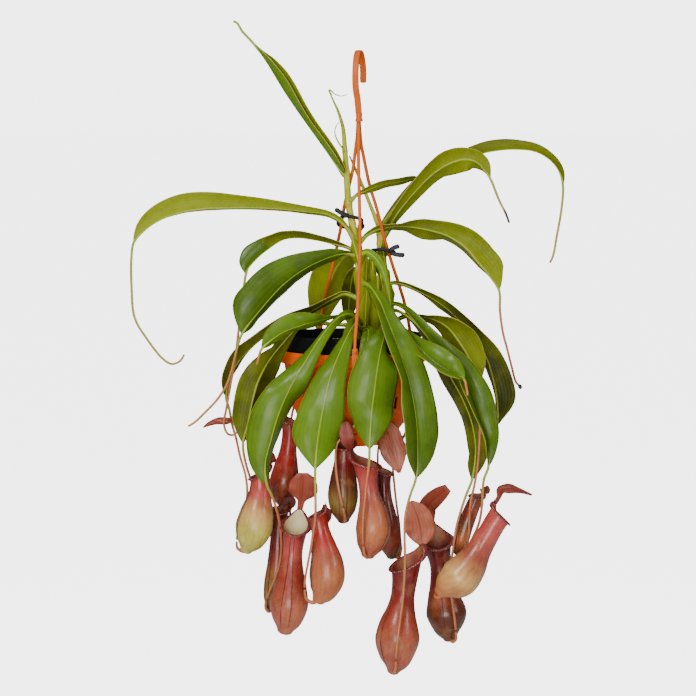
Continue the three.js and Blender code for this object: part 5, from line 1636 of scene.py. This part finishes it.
# %% The stems
def stem_skin():
    skin = Finish("vine_stem", roughness=0.5, coat=0.06, specular=0.25)
    bark = skin.mix(skin.attribute("fresh"), paint("ccc03c"), paint("9cb018"))
    colour = skin.blotch(bark, "98a020", 1, 28, 0.38, 0.66)
    colour = skin.blotch(colour, "c89a40", 0.6, 90, 0.52, 0.72)
    streaks = skin.use(LINES, Position=skin.uv("X"), Count=11, Wander=1.2)
    skin.set("Base Color", skin.streak(colour, "5f6a1c", 0.25, streaks, 0.6))
    skin.bump(streaks, 0.0003, 0.6)
    return skin.material


STEM = stem_skin()
SHEATH_STEPS = 20
SHEATH_SIDES = 18
# Each sheath: the shares of the cane from which and to which it reaches, the bearing that it
# faces in degrees, and its radius at the foot and at the top in millimetres.
SHEATHS = {
    "stem_1": [(0.03, 0.11, 35, 5.2, 8.2), (0.1, 0.165, -40, 5, 8), (0.15, 0.215, 55, 5, 8.4),
               (0.19, 0.29, -25, 4.8, 7.6), (0.27, 0.35, 60, 4.4, 5.6)],
    "stem_2": [(0.03, 0.13, -60, 5.4, 8.4), (0.12, 0.22, 20, 5.3, 8.2), (0.2, 0.33, -35, 5.2, 7.4),
               (0.31, 0.43, 40, 4.6, 6)],
    "stump": [(0.05, 0.36, -30, 8, 9.4), (0.26, 0.56, 50, 7.6, 9), (0.46, 0.76, -20, 6.8, 8),
              (0.66, 0.94, 30, 5.6, 6)],
}
KNOT_REACH = 0.012
STUMP = [(372, 350, 8), (372, 330, 9), (372, 310, 10), (371.5, 292, 12), (370.5, 276, 13), (369.5, 262, 13)]


def sheath(name, route, low, high, facing, near, far):
    """A dry leaf base wrapped round a cane from share low to share high, open on its far side."""
    turn = math.radians(facing)
    tall = (route.at(high) - route.at(low)).length

    def place(step, side):
        share = low + (high - low) * step
        along = route.along(share)
        ahead = Vector((math.sin(turn), -math.cos(turn), 0))
        ahead = (ahead - along * ahead.dot(along)).normalized()
        angle = side * math.radians(165 - 75 * step)
        size = (near + (far - near) * step ** 2) * MM * (1 + 0.07 * math.sin(4 * angle + facing))
        peak = along * (0.75 * tall * step * (1 - abs(side)) ** 1.5)
        out = ahead * math.cos(angle) + along.cross(ahead) * math.sin(angle)
        return route.at(share) + out * size + peak

    wrap = sheet(name + "_sheath", SHEATH_SIDES, SHEATH_STEPS, place)
    colour_with(wrap, LEAF_UNDER)
    mark(wrap, "shade", lambda vertex: 0.35 + 0.4 * (vertex.index // (SHEATH_SIDES + 1)) / SHEATH_STEPS)
    modify(wrap, "SOLIDIFY", thickness=0.6 * MM, offset=0)
    return wrap


def cane(name, route, radius, sides, steps):
    """A rod of stem, fresher towards its top."""
    line = rod(name, route, radius, sides, steps)
    tall = [vertex.co.z for vertex in line.data.vertices]
    mark(line, "fresh", lambda vertex: smooth(vertex.co.z, -0.2, max(tall)))
    colour_with(line, STEM)
    return line


def stem(name, spec):
    route = Route(spec["points"])

    def radius(t):
        knot = sum(math.exp(-((t - joint) / KNOT_REACH) ** 2) for joint in spec["joints"])
        return (eased(spec["radii"], t) * (1 + 0.16 * min(knot, 1))) * MM

    parts = [cane(name + "_cane", route, radius, 24, 150)]
    for twig in spec["shoots"]:
        parts.append(cane(name + "_shoot", Route(twig), lambda t: (1 - 0.6 * t) * MM, 10, 28))
    parts += [sheath(name, route, *wrap) for wrap in SHEATHS[name]]
    if name == "stem_2":
        stump = Route(STUMP)
        parts.append(cane("stump", stump, lambda t: (7.4 - 4.4 * t) * MM, 24, 40))
        parts += [sheath("stump", stump, *wrap) for wrap in SHEATHS["stump"]]
    return stand_for(join(parts, name + "_grown"), name)


stems = [stem(name, spec) for name, spec in STEMS.items()]
print("stems:", [piece.dimensions for piece in stems])

# %% [markdown]
# ## The ties
# Two ties hold the stems to the hanger's arms. Each is a flat coated wire passed round and
# twisted, so it is a bar along a loop with a knot of a few turns and free ends.

# %% The ties' lines
TIES = {
    "tie_left": {
        "loop": [(362, 226, 12), (362, 220, 6), (356, 217.6, 4.5), (349, 216.3, 4.5), (343, 216.5, 10),
            (339, 219.5, 21), (337.5, 223.5, 31.5), (341, 226.3, 36.3), (345.5, 227.5, 33.5),
            (354, 229, 26), (361, 229, 18), (362.5, 226.5, 12)],
        "tails": [[(349, 216.3, 4.5), (342, 213.3, 4), (334.8, 208.7, 5)]],
    },
    "tie_right": {
        "loop": [(391, 251.5, 14), (384, 249.8, 15.5), (376, 249.8, 18), (371.8, 250.8, 26),
            (374, 252.8, 32.5), (382, 254.5, 33.5), (390, 254, 30), (395, 252.5, 22), (391.5, 251.5, 14)],
        "tails": [[(390, 250.5, 13.5), (394, 247.8, 13), (399.5, 245.8, 12)],
            [(390, 252.5, 13.5), (397, 254.6, 13), (405, 255.2, 12)]],
    },
}


# %% The ties
LOOP_SECTION = (3.6 * MM, 2.2 * MM)
END_SECTION = (4.8 * MM, 2.4 * MM)
ROUNDED = 0.6
COIL_RADIUS = 1.9
COIL_TURN = 1.3
COIL_RISE = 0.28
COIL_POINTS = 12
WIRE_RADIUS = 0.95 * MM


def tie(name, spec):
    up = Vector((0, 0, 1))
    parts = [bar(name + "_loop", Route(spec["loop"]), up, *LOOP_SECTION, 90, 16, ROUNDED)]
    parts += [bar(name + "_end", Route(tail), up, *END_SECTION, 20, 16, ROUNDED) for tail in spec["tails"]]
    knot = seen(*spec["loop"][0])
    coil = [knot + Vector((COIL_RADIUS * math.cos(a * COIL_TURN), COIL_RADIUS * math.sin(a * COIL_TURN),
                           COIL_RISE * a - 1.6)) * MM for a in range(COIL_POINTS)]
    parts.append(rod(name + "_knot", Route(coil), lambda t: WIRE_RADIUS, 12, 70))
    piece = join(parts, name + "_wound")
    colour_with(piece, TIE)
    return stand_for(piece, name)


ties = [tie(name, spec) for name, spec in TIES.items()]
print("ties:", [piece.dimensions for piece in ties])
